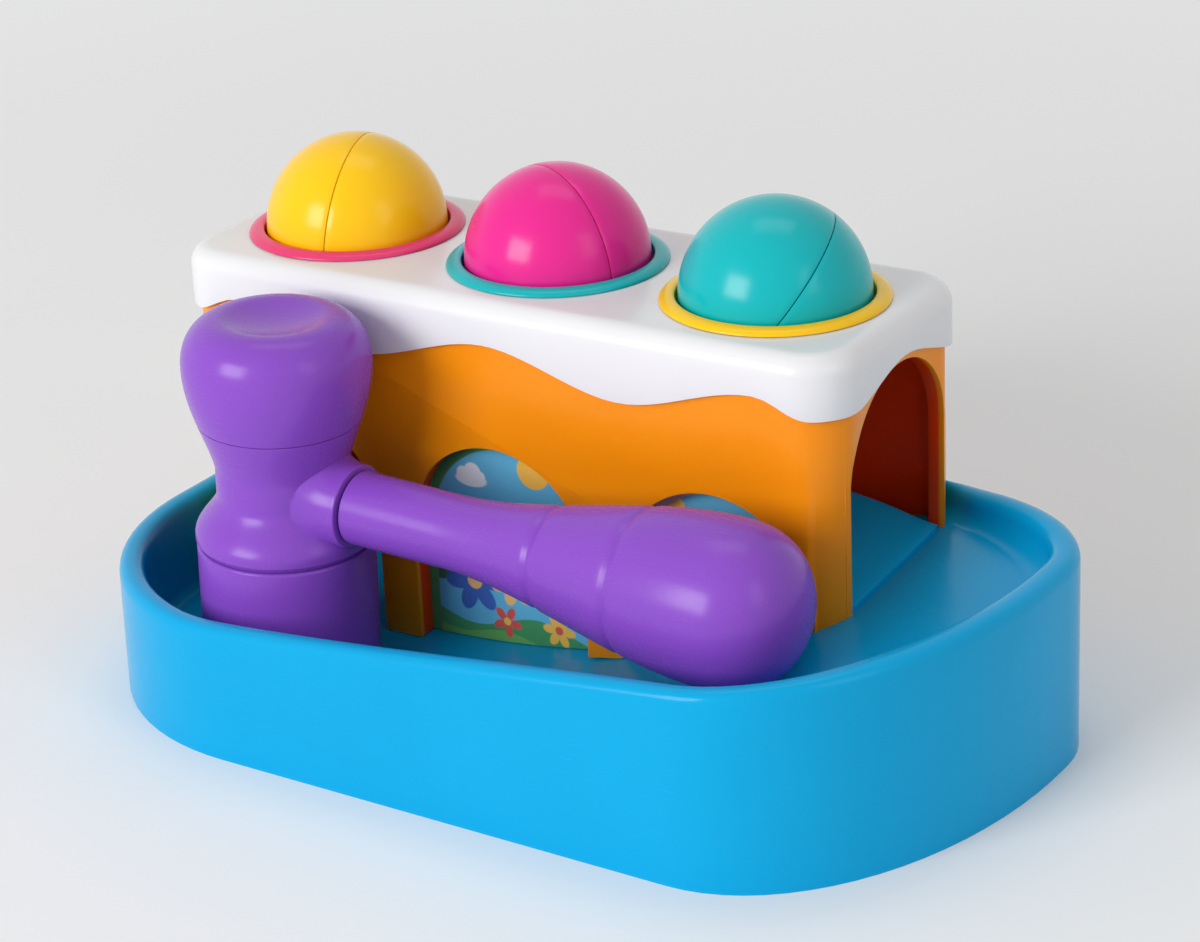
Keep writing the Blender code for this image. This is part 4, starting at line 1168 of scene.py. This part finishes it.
def build_body():
    """The body shell with its lips, bosses and lugs, trimmed to the tray's floor."""
    size = sizes()
    foot = floor_low / 2
    low = (-body_half_length, -body_half_depth, foot)
    body = block("body_moulding", low, (body_half_length, body_half_depth, body_top))
    with editing(body, "EDGE"):
        pick(body, "edges", lambda edge: abs(edge.verts[0].co.z - edge.verts[1].co.z) > foot)
        bpy.ops.mesh.bevel(offset=body_corner_radius, segments=14, affect="EDGES")
        bpy.ops.mesh.select_mode(type="FACE")
        pick(body, "faces", lambda face: abs(face.normal.z) > 0.9)
        bpy.ops.mesh.delete(type="FACE")
    apply_modifier(body, "SOLIDIFY", thickness=size.body_wall, offset=-1.0, use_even_offset=True)

    skin = size.body_wall / 4
    arch_radius = size.arch_width / 2
    exit_radius = size.exit_width / 2
    arch_y = arch_lip_depth / 2 - body_half_depth
    exit_x = body_half_length - exit_lip_depth / 2
    lip = size.arch_lip
    for x in hole_places:
        top = size.arch_height + lip
        depth = arch_lip_depth - 2 * skin
        unite(body, arch_tool("lip", x, arch_y + skin, arch_radius + lip, top, foot, depth, True))
    top = size.exit_height + lip
    depth = exit_lip_depth - 2 * skin
    unite(body, arch_tool("lip", exit_x - skin, 0.0, exit_radius + lip, top, foot, depth, False))
    bosses = []
    for x, y in screw_row():
        bosses.append(rod("base_boss", x, y, boss_radius, foot, floor_height(x, y) + boss_height))
        lug_top = deck_height - deck_plate - deck_boss_length - seat_gap
        bosses.append(rod("lug", x, y, boss_radius + skin, lug_top - lug_thickness, lug_top))
    unite(body, gathered("bosses", bosses))
    for x in hole_places:
        depth = arch_lip_depth + 2 * overrun
        top = size.arch_height
        cut(body, arch_tool("arch", x, arch_y, arch_radius, top, -overrun, depth, True))
    depth = exit_lip_depth + 2 * overrun
    cut(body, arch_tool("exit", exit_x, 0.0, exit_radius, size.exit_height, -overrun, depth, False))
    drill(body, screw_row(), pilot_radius, 0.0, body_top)
    cut(body, floor_tool())
    soften(body, edge_round)
    hand_over(body, finish_for("body"), "body_orange", "bench", ["body_shell"])


def build_panels():
    """The printed panels keep their nodes and get their pictures."""
    prints = {"picture_panel_middle": garden_print, "picture_panel_right": pond_print}
    for name, make in prints.items():
        low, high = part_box(name)
        centre = ((low.x + high.x) / 2, low.y, sizes().arch_height - sizes().arch_width / 2)
        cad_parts[name].material_slots[0].material = make(name + "_print", centre)


# Deck

def clamp_screw_places():
    """Places of the four screws of each clamp."""
    half = (clamp_high.x - clamp_low.x) / 2 - clamp_screw_inset
    return [(hole + x, y) for hole in hole_places for x in (-half, half) for y in (-half, half)]


def build_deck():
    """The deck with its wavy skirt, its bosses and its three holes."""
    size = sizes()
    low = deck_height - size.skirt_low - overrun
    corner_low = (-deck_half_length, -deck_half_depth, low)
    deck = block("deck_moulding", corner_low, (deck_half_length, deck_half_depth, deck_height))
    with editing(deck, "EDGE"):
        pick(deck, "edges", lambda edge: abs(edge.verts[0].co.z - edge.verts[1].co.z) > overrun)
        bpy.ops.mesh.bevel(offset=size.deck_corner, segments=16, affect="EDGES")
        high = deck_height - seat_gap
        pick(deck, "edges", lambda edge: min(vert.co.z for vert in edge.verts) > high)
        bpy.ops.mesh.bevel(offset=size.deck_fillet, segments=8, affect="EDGES")
        bpy.ops.mesh.select_mode(type="FACE")
        pick(deck, "faces", lambda face: face.normal.z < -0.9)
        bpy.ops.mesh.delete(type="FACE")
        for half, normal in ((deck_half_length, (1.0, 0.0, 0.0)), (deck_half_depth, (0.0, 1.0, 0.0))):
            count = round(2 * half / deck_step)
            for place in spread(-half, half, count)[1:-1]:
                bpy.ops.mesh.select_all(action="SELECT")
                bpy.ops.mesh.bisect(plane_co=Vector(normal) * place, plane_no=normal)
        edge = low + seat_gap

        def waved(co):
            return Vector((co.x, co.y, skirt_height(co.x, co.y) if co.z < edge else co.z))
        move_verts(deck, waved)
    apply_modifier(deck, "SOLIDIFY", thickness=size.deck_wall, offset=-1.0, use_even_offset=True)
    inside = deck_height - size.deck_wall / 2
    foot = clamp_high.z + seat_gap
    bosses = [rod("boss", x, y, clamp_boss_radius, foot, inside) for x, y in clamp_screw_places()]
    foot = deck_height - deck_plate - deck_boss_length
    bosses += [rod("boss", x, y, deck_boss_radius, foot, inside) for x, y in screw_row()]
    unite(deck, gathered("bosses", bosses))
    radius = ring_inner_radius + collar_wall + seat_gap
    under = deck_height - size.deck_fillet
    drill(deck, [(x, 0.0) for x in hole_places], radius, under, deck_height + overrun, ring_steps)
    soften(deck, edge_round, 3)
    hand_over(deck, finish_for("deck"), "deck_white", "bench", ["deck_cover"])


# Rings, grippers and clamps

def ring_profile():
    """A flange that swells from its outer edge to a crown by the ball, on a collar down the hole."""
    crown = sizes().ring_crown
    under = deck_height - deck_plate
    collar = ring_inner_radius + collar_wall
    ridge = ring_outer_radius - ring_crown_inset
    points = [(collar, ring_seat), (ring_outer_radius, ring_seat)]
    for turn in spread(0.0, math.pi / 2, 14)[1:]:
        radius = ridge + ring_crown_inset * math.cos(turn)
        points.append((radius, ring_seat + crown * math.sin(turn)))
    for turn in spread(0.0, math.pi / 2, 7)[1:]:
        radius = ridge - (ridge - ring_inner_radius) * math.sin(turn)
        points.append((radius, ring_seat + crown * (2 + math.cos(turn)) / 3))
    return points + [(ring_inner_radius, under), (collar, under), (collar, ring_seat)]


def build_rings():
    """Three rings of one shape, each in its own colour."""
    plastics = (("pink", "ring_pink"), ("teal", "ring_teal"), ("yellow", "ring_yellow"))
    for side, x, (finish, slot) in zip(sides, hole_places, plastics):
        ring = turned("ring_" + side, ring_profile(), ring_steps)
        place = to_bench @ Matrix.Translation((x, 0.0, 0.0))
        hand_over(ring, finish_for(finish), slot, "bench", ["hole_ring_" + side], place)


def gripper_profile():
    """A soft washer whose lip hangs in to the ball, with its lip's edge rounded."""
    top = gripper_high.z
    low = gripper_low.z
    outer = (gripper_high.x - gripper_low.x) / 2
    thickness = gripper_thickness
    tip = math.sqrt(ball_radius ** 2 - (ball_height - low) ** 2) + 2 * seat_gap
    bend = ring_inner_radius
    points = [(outer, top), (outer, top - thickness), (bend + thickness / 2, top - thickness)]
    points += [(tip + thickness, low + thickness / 2)]
    points += arc((tip + thickness / 2, low + thickness / 2), thickness / 2, 0.0, -math.pi, 6)[1:]
    return points + [(bend, top), (outer, top)]


def build_grippers():
    """Each gripper's lip is parted into six fingers by three thin slots right across."""
    for side, x in zip(sides, hole_places):
        gripper = turned("gripper_" + side, gripper_profile(), arch_steps)
        blades = []
        for turn in (math.pi / 6, math.pi / 2, math.pi * 5 / 6):
            low = (-ring_inner_radius, -gripper_slot / 2, gripper_low.z - overrun)
            high = (ring_inner_radius, gripper_slot / 2, gripper_high.z - gripper_thickness / 3)
            blade = block("blade", low, high)
            blade.data.transform(Matrix.Rotation(turn, 4, "Z"))
            blades.append(blade)
        cut(gripper, gathered("blades", blades))
        place = to_bench @ Matrix.Translation((x, 0.0, 0.0))
        nodes = ["ball_gripper_" + side]
        hand_over(gripper, finish_for("elastomer"), "gripper_soft", "bench", nodes, place)


def build_clamps():
    """The clamps keep their nodes and get the plain moulding's finish."""
    for side in sides:
        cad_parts["gripper_clamp_" + side].material_slots[0].material = finish_for("hidden")


# Balls

def half_ball_profile():
    """A hollow half ball about +Z, with its edge at the seam broken by a fine round."""
    size = sizes()
    seam = size.ball_seam / 2
    inner = ball_radius - size.ball_wall
    edge = size.ball_seam * seam_edge_share
    start = math.asin((seam + edge) / ball_radius)
    outer = arc((0.0, 0.0), ball_radius, math.pi / 2, start, 26)
    outer[0] = (0.0, ball_radius)
    soft = edge * seam_round_share
    outer += [(ball_radius - soft, seam + soft), (ball_radius - edge, seam)]
    start = math.asin(seam / inner)
    inside = arc((0.0, 0.0), inner, start, math.pi / 2, 20)
    inside[-1] = (0.0, inner)
    return outer + inside


def build_balls():
    """Three hollow balls, whose seams turn and tilt each in its own way."""
    plastics = ("yellow", "magenta", "teal")
    for side, finish, (turn, tilt), x in zip(sides, plastics, seam_turns, hole_places):
        middle = to_bench @ Matrix.Translation((x, 0.0, ball_height))
        upright = middle @ Matrix.Rotation(math.radians(turn), 4, "Z")
        for half, tip in (("front", 90), ("back", -90)):
            ball = turned(f"{side}_ball_{half}", half_ball_profile(), turn_steps)
            place = upright @ Matrix.Rotation(math.radians(tip - tilt), 4, "X")
            node = f"ball_{side}_{half}_half"
            hand_over(ball, finish_for(finish), "ball_" + finish, "ball_" + side, [node], place)


# Ramp

def build_ramp():
    """A trough on three legs, which fades to the tray's own slope where the balls leave it."""
    size = sizes()
    half_width = (ramp_high.y - ramp_low.y) / 2 - ramp_side_inset
    bpy.ops.object.select_all(action="DESELECT")
    bpy.ops.mesh.primitive_grid_add(x_subdivisions=40, y_subdivisions=28, size=2.0)
    ramp = added("ramp_moulding")
    with editing(ramp):
        def chute(co):
            x = ramp_left + (ramp_right - ramp_left) * (co.x + 1) / 2
            y = co.y * half_width
            trough = y * y / (2 * ramp_trough_radius)
            fade = ease((x - ramp_fade_start) / (ramp_right - ramp_fade_start))
            feather = ease((x - ramp_right + ramp_feather) / ramp_feather)
            sink = (size.ramp_wall - edge_round) * feather
            return Vector((x, y, ramp_height(x) + trough + (bank_share * y - trough) * fade - sink))
        move_verts(ramp, chute)
    apply_modifier(ramp, "SOLIDIFY", thickness=size.ramp_wall, offset=-1.0, use_even_offset=True)
    foot = floor_low / 2
    legs = []
    bosses = []
    drills = []
    for x in leg_places():
        half = (ramp_leg_thickness / 2, ramp_leg_width / 2)
        top = ramp_height(x) - size.ramp_wall / 5
        legs.append(block("leg", (x - half[0], -half[1], foot), (x + half[0], half[1], top)))
        floor = floor_height(x, 0.0)
        top = floor + boss_height / 2 + boss_radius
        bosses.append(rod("boss", x, 0.0, boss_radius, foot, top))
        top = floor + ramp_drill_reach
        drills.append(rod("drill", x, 0.0, pilot_radius, floor - floor_low, top, small_steps))
    unite(ramp, gathered("legs", legs))
    unite(ramp, gathered("bosses", bosses))
    cut(ramp, gathered("drills", drills))
    cut(ramp, floor_tool())
    soften(ramp, edge_round)
    hand_over(ramp, finish_for("tray"), "tray_blue", "bench", ["ball_ramp"])


# Screws

def screw_profile(shank):
    """A domed head below the origin and a threaded shank above it."""
    points = [(0.0, shank), (screw_core_radius, shank)]
    turns = int(shank / screw_pitch) - 1
    for number in range(turns):
        top = shank - screw_pitch * (number + 0.5)
        points += [(screw_core_radius, top), (screw_radius, top - screw_pitch / 2)]
    points += [(screw_core_radius, 0.0), (screw_head_radius * screw_neck_share, 0.0)]
    for share in spread(0.0, 1.0, 5):
        drop = screw_head_height * (screw_brim_share + (1 - screw_brim_share) * share)
        points.append((screw_head_radius * math.sqrt(1 - share ** 2 * screw_dome_share), -drop))
    return points + [(0.0, -screw_head_height)]


def cross_tool():
    """The cross recess of a screw's head."""
    arm = screw_head_radius * cross_reach_share
    width = screw_head_radius * cross_width_share
    bottom = -screw_head_height - overrun
    top = -screw_head_height * cross_floor_share
    cross = block("arm", (-arm, -width, bottom), (arm, width, top))
    unite(cross, block("arm", (-width, -arm, bottom), (width, arm, top)))
    return cross


def screw_master(shank):
    """A screw with its head's underside at the origin."""
    screw = turned("screw_master", screw_profile(shank), small_steps)
    cut(screw, cross_tool())
    return screw


def build_screws():
    """One screw for each length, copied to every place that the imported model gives."""
    masters = {}
    nodes = [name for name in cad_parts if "_screw_" in name]
    for name in sorted(nodes):
        low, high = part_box(name)
        shank = round(high.z - low.z - screw_head_height, 5)
        if shank not in masters:
            masters[shank] = screw_master(shank)
        screw = masters[shank].copy()
        screw.data = masters[shank].data.copy()
        bpy.context.scene.collection.objects.link(screw)
        screw.name = name + "_threaded"
        middle = ((low.x + high.x) / 2, (low.y + high.y) / 2, low.z + screw_head_height)
        place = Matrix.Translation(middle)
        hand_over(screw, finish_for("steel"), "screw_zinc", "bench", [name], place)
    for master in masters.values():
        bpy.data.objects.remove(master, do_unlink=True)


# Mallet

def mesh_points(node):
    """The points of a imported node."""
    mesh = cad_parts[node].data
    points = np.empty(len(mesh.vertices) * 3)
    mesh.vertices.foreach_get("co", points)
    return points.reshape(-1, 3)


def mallet_place():
    """The matrix that stands the head's foot at the origin, its axis up Z and the handle along X.

    The handle's node is turned about one line, so its spread is greatest along that line."""
    handle = mesh_points("hammer_handle")
    centre = handle.mean(0)
    _, axes = np.linalg.eigh(np.cov((handle - centre).T))
    along = Vector(axes[:, 2] if axes[0, 2] > 0 else -axes[:, 2])
    lean = math.atan2(-along.z, along.x)
    turn = Matrix.Rotation(lean, 4, "Y")
    upward = turn.to_3x3() @ Vector((0.0, 0.0, 1.0))
    cap = mesh_points("hammer_head_cap")
    middle = Vector(cap.mean(0))
    foot = middle + upward * (float((cap @ np.array(upward)).min()) - middle.dot(upward))
    axis_height = (Vector(centre) - foot).dot(upward)
    return Matrix.Translation(foot) @ turn, axis_height


def head_radius(height, axis_height):
    """Outer radius of the head through its cap, barrel, waist and bulb."""
    flare_low = cap_height + (axis_height - cap_height) * barrel_flare_share
    if height < flare_low:
        return barrel_radius
    if height < axis_height:
        narrowing = ease((height - flare_low) / (axis_height - flare_low))
        return barrel_radius + (waist_radius - barrel_radius) * narrowing
    waist_high = axis_height + collar_radius * waist_share
    if height < waist_high:
        return waist_radius
    bulb_middle = parting_height + (head_length - parting_height) * bulb_share
    if height < bulb_middle:
        share = (height - waist_high) / (bulb_middle - waist_high)
        swell = math.sin(share * math.pi / 2) ** bulb_power
        return waist_radius + (bulb_radius - waist_radius) * swell
    share = (height - bulb_middle) / (head_length - bulb_middle)
    fall = 1 - math.sqrt(max(1 - share ** top_power, 0.0))
    return bulb_radius + (top_radius - bulb_radius) * fall


def bulb_profile(axis_height):
    """The bulb: a dished top with a soft edge, a full round side and a small ridge at its parting."""
    low = parting_height + seat_gap / 2
    dish = head_length - top_dish
    points = [(0.0, dish)]
    for share in spread(0.0, 1.0, 8)[1:]:
        points.append((top_radius * top_dish_share * share, dish + top_dish * share ** 2))
    for share in spread(1.0, 0.0, 34):
        height = low + (head_length - low) * (1 - (1 - share) ** bulb_step_power)
        points.append((head_radius(height, axis_height), height))
    points += [(points[-1][0] - seat_gap, low), (points[-1][0] - head_wall, low)]
    roof = dish - head_wall
    for share in spread(0.0, 1.0, 14)[1:]:
        height = low + (roof - head_wall - low) * share
        points.append((head_radius(height, axis_height) - head_wall, height))
    return points + [(top_radius * top_hollow_share, roof), (0.0, roof)]


def barrel_profile(axis_height):
    """The barrel and waist, with a groove over the cap."""
    low = cap_height + seat_gap
    shoulder = low + 2 * parting_groove
    high = parting_height - seat_gap / 2
    foot = cap_radius - parting_groove
    points = [(head_radius(h, axis_height), h) for h in spread(high, shoulder, 40)]
    points += [(foot, low), (foot - head_wall, low)]
    points += [(head_radius(h, axis_height) - head_wall, h) for h in spread(shoulder, high, 20)]
    return points + [points[0]]


def cap_profile():
    """The head's lower end: a straight cup with a rounded foot and shoulder."""
    shoulder = (cap_radius - cap_shoulder, cap_height - cap_shoulder)
    foot = (cap_radius - head_wall, head_wall)
    points = [(cap_radius - head_wall, cap_height)]
    points += corner(shoulder, cap_shoulder, 0.0, 5)[::-1]
    points += corner(foot, head_wall, -math.pi / 2, 7)[::-1]
    return points + [(0.0, 0.0), (0.0, head_wall), foot, points[0]]


def handle_radius(reach):
    """Outer radius of the handle at a distance from the head's axis."""
    neck = collar_reach + handle_gap
    swell_start = neck + (grip_grooves[0] - neck) * neck_share
    swell = ease((reach - swell_start) / (grip_centre - swell_start))
    radius = neck_radius + (grip_radius - neck_radius) * swell
    for groove in grip_grooves:
        share = abs(reach - groove) / grip_groove_width
        if share < 1:
            radius -= sizes().grip_groove * (1 - share) ** grip_groove_power
    if reach > grip_centre:
        share = (reach - grip_centre) / grip_radius
        radius = grip_radius * math.sqrt(max(1 - share ** grip_end_power, 0.0))
    return radius


def handle_profile():
    """The hollow handle from its round end to the tenon in the head."""
    neck = collar_reach + handle_gap
    end = grip_centre + grip_radius
    start = collar_reach - tenon_depth
    reaches = [end - grip_radius * share ** 2 for share in spread(0.0, 1.0, 18)]
    marks = [neck]
    for groove in grip_grooves:
        marks += [groove + grip_groove_width * share for share in groove_shares]
    first, second = grip_grooves
    clear = 2 * grip_groove_width
    marks += spread(neck, first - clear, 20)
    marks += spread(first + clear, second - clear, 7)
    marks += spread(second + clear, grip_centre, 8)[:-1]
    reaches += sorted(set(marks), reverse=True)
    outer = [(handle_radius(reach), reach) for reach in reaches]
    outer[0] = (0.0, end)
    outer += [(tenon_radius, neck), (tenon_radius, start), (tenon_radius - handle_wall, start)]
    outer.append((tenon_radius - handle_wall, neck))
    hollow = []
    for share in spread(0.0, 1.0, 10)[3:]:
        reach = neck + (grip_centre - neck) * share
        hollow.append((handle_radius(reach) - 2 * handle_wall, reach))
    return outer + hollow + [(0.0, end - 2 * handle_wall)]


def socket_profile(start):
    """The socket's collar, which spreads where it runs in to the head."""
    points = [(0.0, collar_reach)]
    edge = (collar_radius - edge_round, collar_reach - edge_round)
    points += corner(edge, edge_round, 0.0, 3)[::-1]
    for share in spread(0.0, 1.0, 12)[1:]:
        reach = collar_reach + (start - collar_reach) * share
        points.append((collar_radius + collar_flare * share ** 2, reach))
    return points + [(0.0, start)]


def build_mallet():
    """The head in its three mouldings and the handle that plugs in to its collar."""
    place, axis_height = mallet_place()
    lying = Matrix.Translation((0.0, 0.0, axis_height)) @ Matrix.Rotation(math.pi / 2, 4, "Y")
    purple = finish_for("purple")
    turnings = (
        ("mallet_cap", cap_profile(), "hammer_head_cap", place),
        ("mallet_bulb", bulb_profile(axis_height), "hammer_head_bulb", place),
        ("mallet_handle", handle_profile(), "hammer_handle", place @ lying),
    )
    for name, profile, node, matrix in turnings:
        piece = turned(name, profile, turn_steps)
        hand_over(piece, purple, "mallet_purple", "hammer", [node], matrix)
    barrel = turned("mallet_barrel", barrel_profile(axis_height), turn_steps)
    start = waist_radius - 3 * head_wall
    collar = turned("collar", socket_profile(start), arch_steps)
    settle(collar, lying)
    with editing(collar):
        def spread_collar(co):
            share = ease((collar_reach - co.x) / (collar_reach - start))
            growth = 1 + collar_spread * share ** 2
            return Vector((co.x, co.y, axis_height + (co.z - axis_height) * growth))
        move_verts(collar, spread_collar)
    unite(barrel, collar)
    ends = (start - overrun, collar_reach + overrun)
    bore = rod("bore", 0.0, 0.0, tenon_radius + seat_gap, *ends, bore_steps)
    settle(bore, lying)
    cut(barrel, bore)
    soften(barrel, edge_round, 3, 50)
    hand_over(barrel, purple, "mallet_purple", "hammer", ["hammer_head_barrel"], place)


# Stage

camera_reach = (0.5217, -0.7822, 0.4610)
camera_heading = 33.40
camera_dip = 21.883
camera_roll = -2.729
camera_lens = 93.744
camera_shift = (0.0161, -0.0548)
floor_size = 14.0
floor_near = 0.45
floor_fade = 0.90
floor_glow = (0.830, 0.832, 0.840)
floor_shades = ((0.90, 0.90, 0.90), (0.94, 0.94, 0.94))
room_strength = 0.5
lamp_target = (0.0, 0.0, 0.06)
lamps = (
    ("key_lamp", (-0.75, -2.25, 0.98), (1.25, 1.05), 43.0),
    ("top_lamp", (-0.20, 0.50, 2.20), (1.30, 0.75), 4.5),
    ("side_lamp", (1.40, -0.35, 0.80), (0.50, 0.80), 2.0),
)


def add_lamp(name, place, size, power):
    """A rectangular lamp that looks at the toy."""
    bpy.ops.object.select_all(action="DESELECT")
    bpy.ops.object.light_add(type="AREA", location=place)
    lamp = bpy.context.object
    lamp.name = name
    lamp.data.shape = "RECTANGLE"
    lamp.data.size = size[0]
    lamp.data.size_y = size[1]
    lamp.data.energy = power
    aim = Vector(lamp_target) - Vector(place)
    lamp.rotation_euler = aim.to_track_quat("-Z", "Y").to_euler()


def build_stage():
    """A plain pale floor, soft lamps, a bright room and the camera."""
    bpy.ops.object.select_all(action="DESELECT")
    bpy.ops.mesh.primitive_plane_add(size=floor_size)
    floor = added("studio_floor")
    pale = Finish("pale_floor")
    where = pale.place()
    pale.set(base_color=pale.mix(pale.noise(where, scale=3.0), *floor_shades), roughness=0.9)
    reach = pale.add("ShaderNodeVectorMath", {"operation": "LENGTH"}, {0: where}, output="Value")
    far = ((reach - floor_near) / floor_fade).clamped()
    glow = pale.add("ShaderNodeEmission", inputs={"Color": (*floor_glow, 1.0), "Strength": 1.0})
    near = Signal(pale.tree, pale.shader.outputs["BSDF"])
    surface = pale.add("ShaderNodeMixShader", inputs={0: far * pale.seen(), 1: near, 2: glow})
    pale.fill(pale.tree.nodes["Material Output"].inputs["Surface"], surface)
    floor.data.materials.append(pale.material)

    world = bpy.data.worlds.new("studio_room")
    bpy.context.scene.world = world
    world.use_nodes = True
    room = Nodes(world.node_tree)
    white = {"Color": (1.0, 1.0, 1.0, 1.0)}
    light = room.add("ShaderNodeBackground", inputs={**white, "Strength": room_strength})
    backdrop = room.add("ShaderNodeBackground", inputs={**white, "Strength": 1.0})
    surface = room.add("ShaderNodeMixShader", inputs={0: room.seen(), 1: light, 2: backdrop})
    room.fill(world.node_tree.nodes["World Output"].inputs["Surface"], surface)
    for lamp in lamps:
        add_lamp(*lamp)

    bpy.ops.object.camera_add(location=bench_centre + Vector(camera_reach))
    camera = bpy.context.object
    camera.name = "photo_camera"
    heading = Matrix.Rotation(math.radians(camera_heading), 4, "Z")
    dip = Matrix.Rotation(math.radians(90 - camera_dip), 4, "X")
    roll = Matrix.Rotation(math.radians(camera_roll), 4, "Z")
    camera.rotation_euler = (heading @ dip @ roll).to_euler()
    camera.data.lens = camera_lens
    camera.data.shift_x, camera.data.shift_y = camera_shift
    bpy.context.scene.camera = camera
    bpy.context.scene.view_settings.view_transform = "Standard"


class BENCH_OT_tray(bpy.types.Operator):
    """Moulds the tray with its rim, channel and basin"""

    bl_idname = "bench.tray"
    bl_label = "Tray"

    def execute(self, context):
        build_tray()
        return {"FINISHED"}


class BENCH_OT_body(bpy.types.Operator):
    """Moulds the body shell with its arches, bosses and lugs"""

    bl_idname = "bench.body"
    bl_label = "Body"

    def execute(self, context):
        build_body()
        return {"FINISHED"}


class BENCH_OT_panels(bpy.types.Operator):
    """Prints the panels behind the middle and right arches"""

    bl_idname = "bench.panels"
    bl_label = "Panels"

    def execute(self, context):
        build_panels()
        return {"FINISHED"}


class BENCH_OT_deck(bpy.types.Operator):
    """Moulds the deck cover with its wavy skirt"""

    bl_idname = "bench.deck"
    bl_label = "Deck"

    def execute(self, context):
        build_deck()
        return {"FINISHED"}


class BENCH_OT_rings(bpy.types.Operator):
    """Turns the three coloured rings in the deck's holes"""

    bl_idname = "bench.rings"
    bl_label = "Rings"

    def execute(self, context):
        build_rings()
        return {"FINISHED"}


class BENCH_OT_grippers(bpy.types.Operator):
    """Turns the soft grippers and parts their fingers"""

    bl_idname = "bench.grippers"
    bl_label = "Grippers"

    def execute(self, context):
        build_grippers()
        return {"FINISHED"}


class BENCH_OT_clamps(bpy.types.Operator):
    """Finishes the clamp plates under the grippers"""

    bl_idname = "bench.clamps"
    bl_label = "Clamps"

    def execute(self, context):
        build_clamps()
        return {"FINISHED"}


class BENCH_OT_balls(bpy.types.Operator):
    """Turns the three hollow balls in halves"""

    bl_idname = "bench.balls"
    bl_label = "Balls"

    def execute(self, context):
        build_balls()
        return {"FINISHED"}


class BENCH_OT_ramp(bpy.types.Operator):
    """Moulds the ball ramp inside the body"""

    bl_idname = "bench.ramp"
    bl_label = "Ramp"

    def execute(self, context):
        build_ramp()
        return {"FINISHED"}


class BENCH_OT_screws(bpy.types.Operator):
    """Turns one screw for each length and copies it to every place"""

    bl_idname = "bench.screws"
    bl_label = "Screws"

    def execute(self, context):
        build_screws()
        return {"FINISHED"}


class BENCH_OT_mallet(bpy.types.Operator):
    """Turns the mallet's head and handle"""

    bl_idname = "bench.mallet"
    bl_label = "Mallet"

    def execute(self, context):
        build_mallet()
        return {"FINISHED"}


class BENCH_OT_stage(bpy.types.Operator):
    """Sets the floor, the lamps, the room and the camera"""

    bl_idname = "bench.stage"
    bl_label = "Stage"

    def execute(self, context):
        build_stage()
        return {"FINISHED"}


steps = (
    BENCH_OT_tray,
    BENCH_OT_body,
    BENCH_OT_panels,
    BENCH_OT_deck,
    BENCH_OT_rings,
    BENCH_OT_grippers,
    BENCH_OT_clamps,
    BENCH_OT_balls,
    BENCH_OT_ramp,
    BENCH_OT_screws,
    BENCH_OT_mallet,
    BENCH_OT_stage,
)


class BENCH_PT_panel(bpy.types.Panel):
    """The bench's steps, in the order in which they are made."""

    bl_label = "Ball Pounding Bench"
    bl_space_type = "VIEW_3D"
    bl_region_type = "UI"
    bl_category = "Bench"

    def draw(self, context):
        for step in steps:
            self.layout.operator(step.bl_idname)
        for group in (context.scene.bench_sizes, context.scene.bench_colours):
            box = self.layout.box()
            for name in group.__annotations__:
                box.prop(group, name)


classes = (BenchSizes, BenchColours, *steps, BENCH_PT_panel)


def register():
    """Registers the settings, the steps and the panel."""
    for item in classes:
        bpy.utils.register_class(item)
    bpy.types.Scene.bench_sizes = PointerProperty(type=BenchSizes)
    bpy.types.Scene.bench_colours = PointerProperty(type=BenchColours)


def unregister():
    """Takes away what register added."""
    del bpy.types.Scene.bench_colours
    del bpy.types.Scene.bench_sizes
    for item in reversed(classes):
        bpy.utils.unregister_class(item)


def main():
    """Makes every piece and the stage."""
    register()
    for step in steps:
        group, name = step.bl_idname.split(".")
        getattr(getattr(bpy.ops, group), name)()
    bpy.context.view_layer.update()


if __name__ == "__main__":
    main()
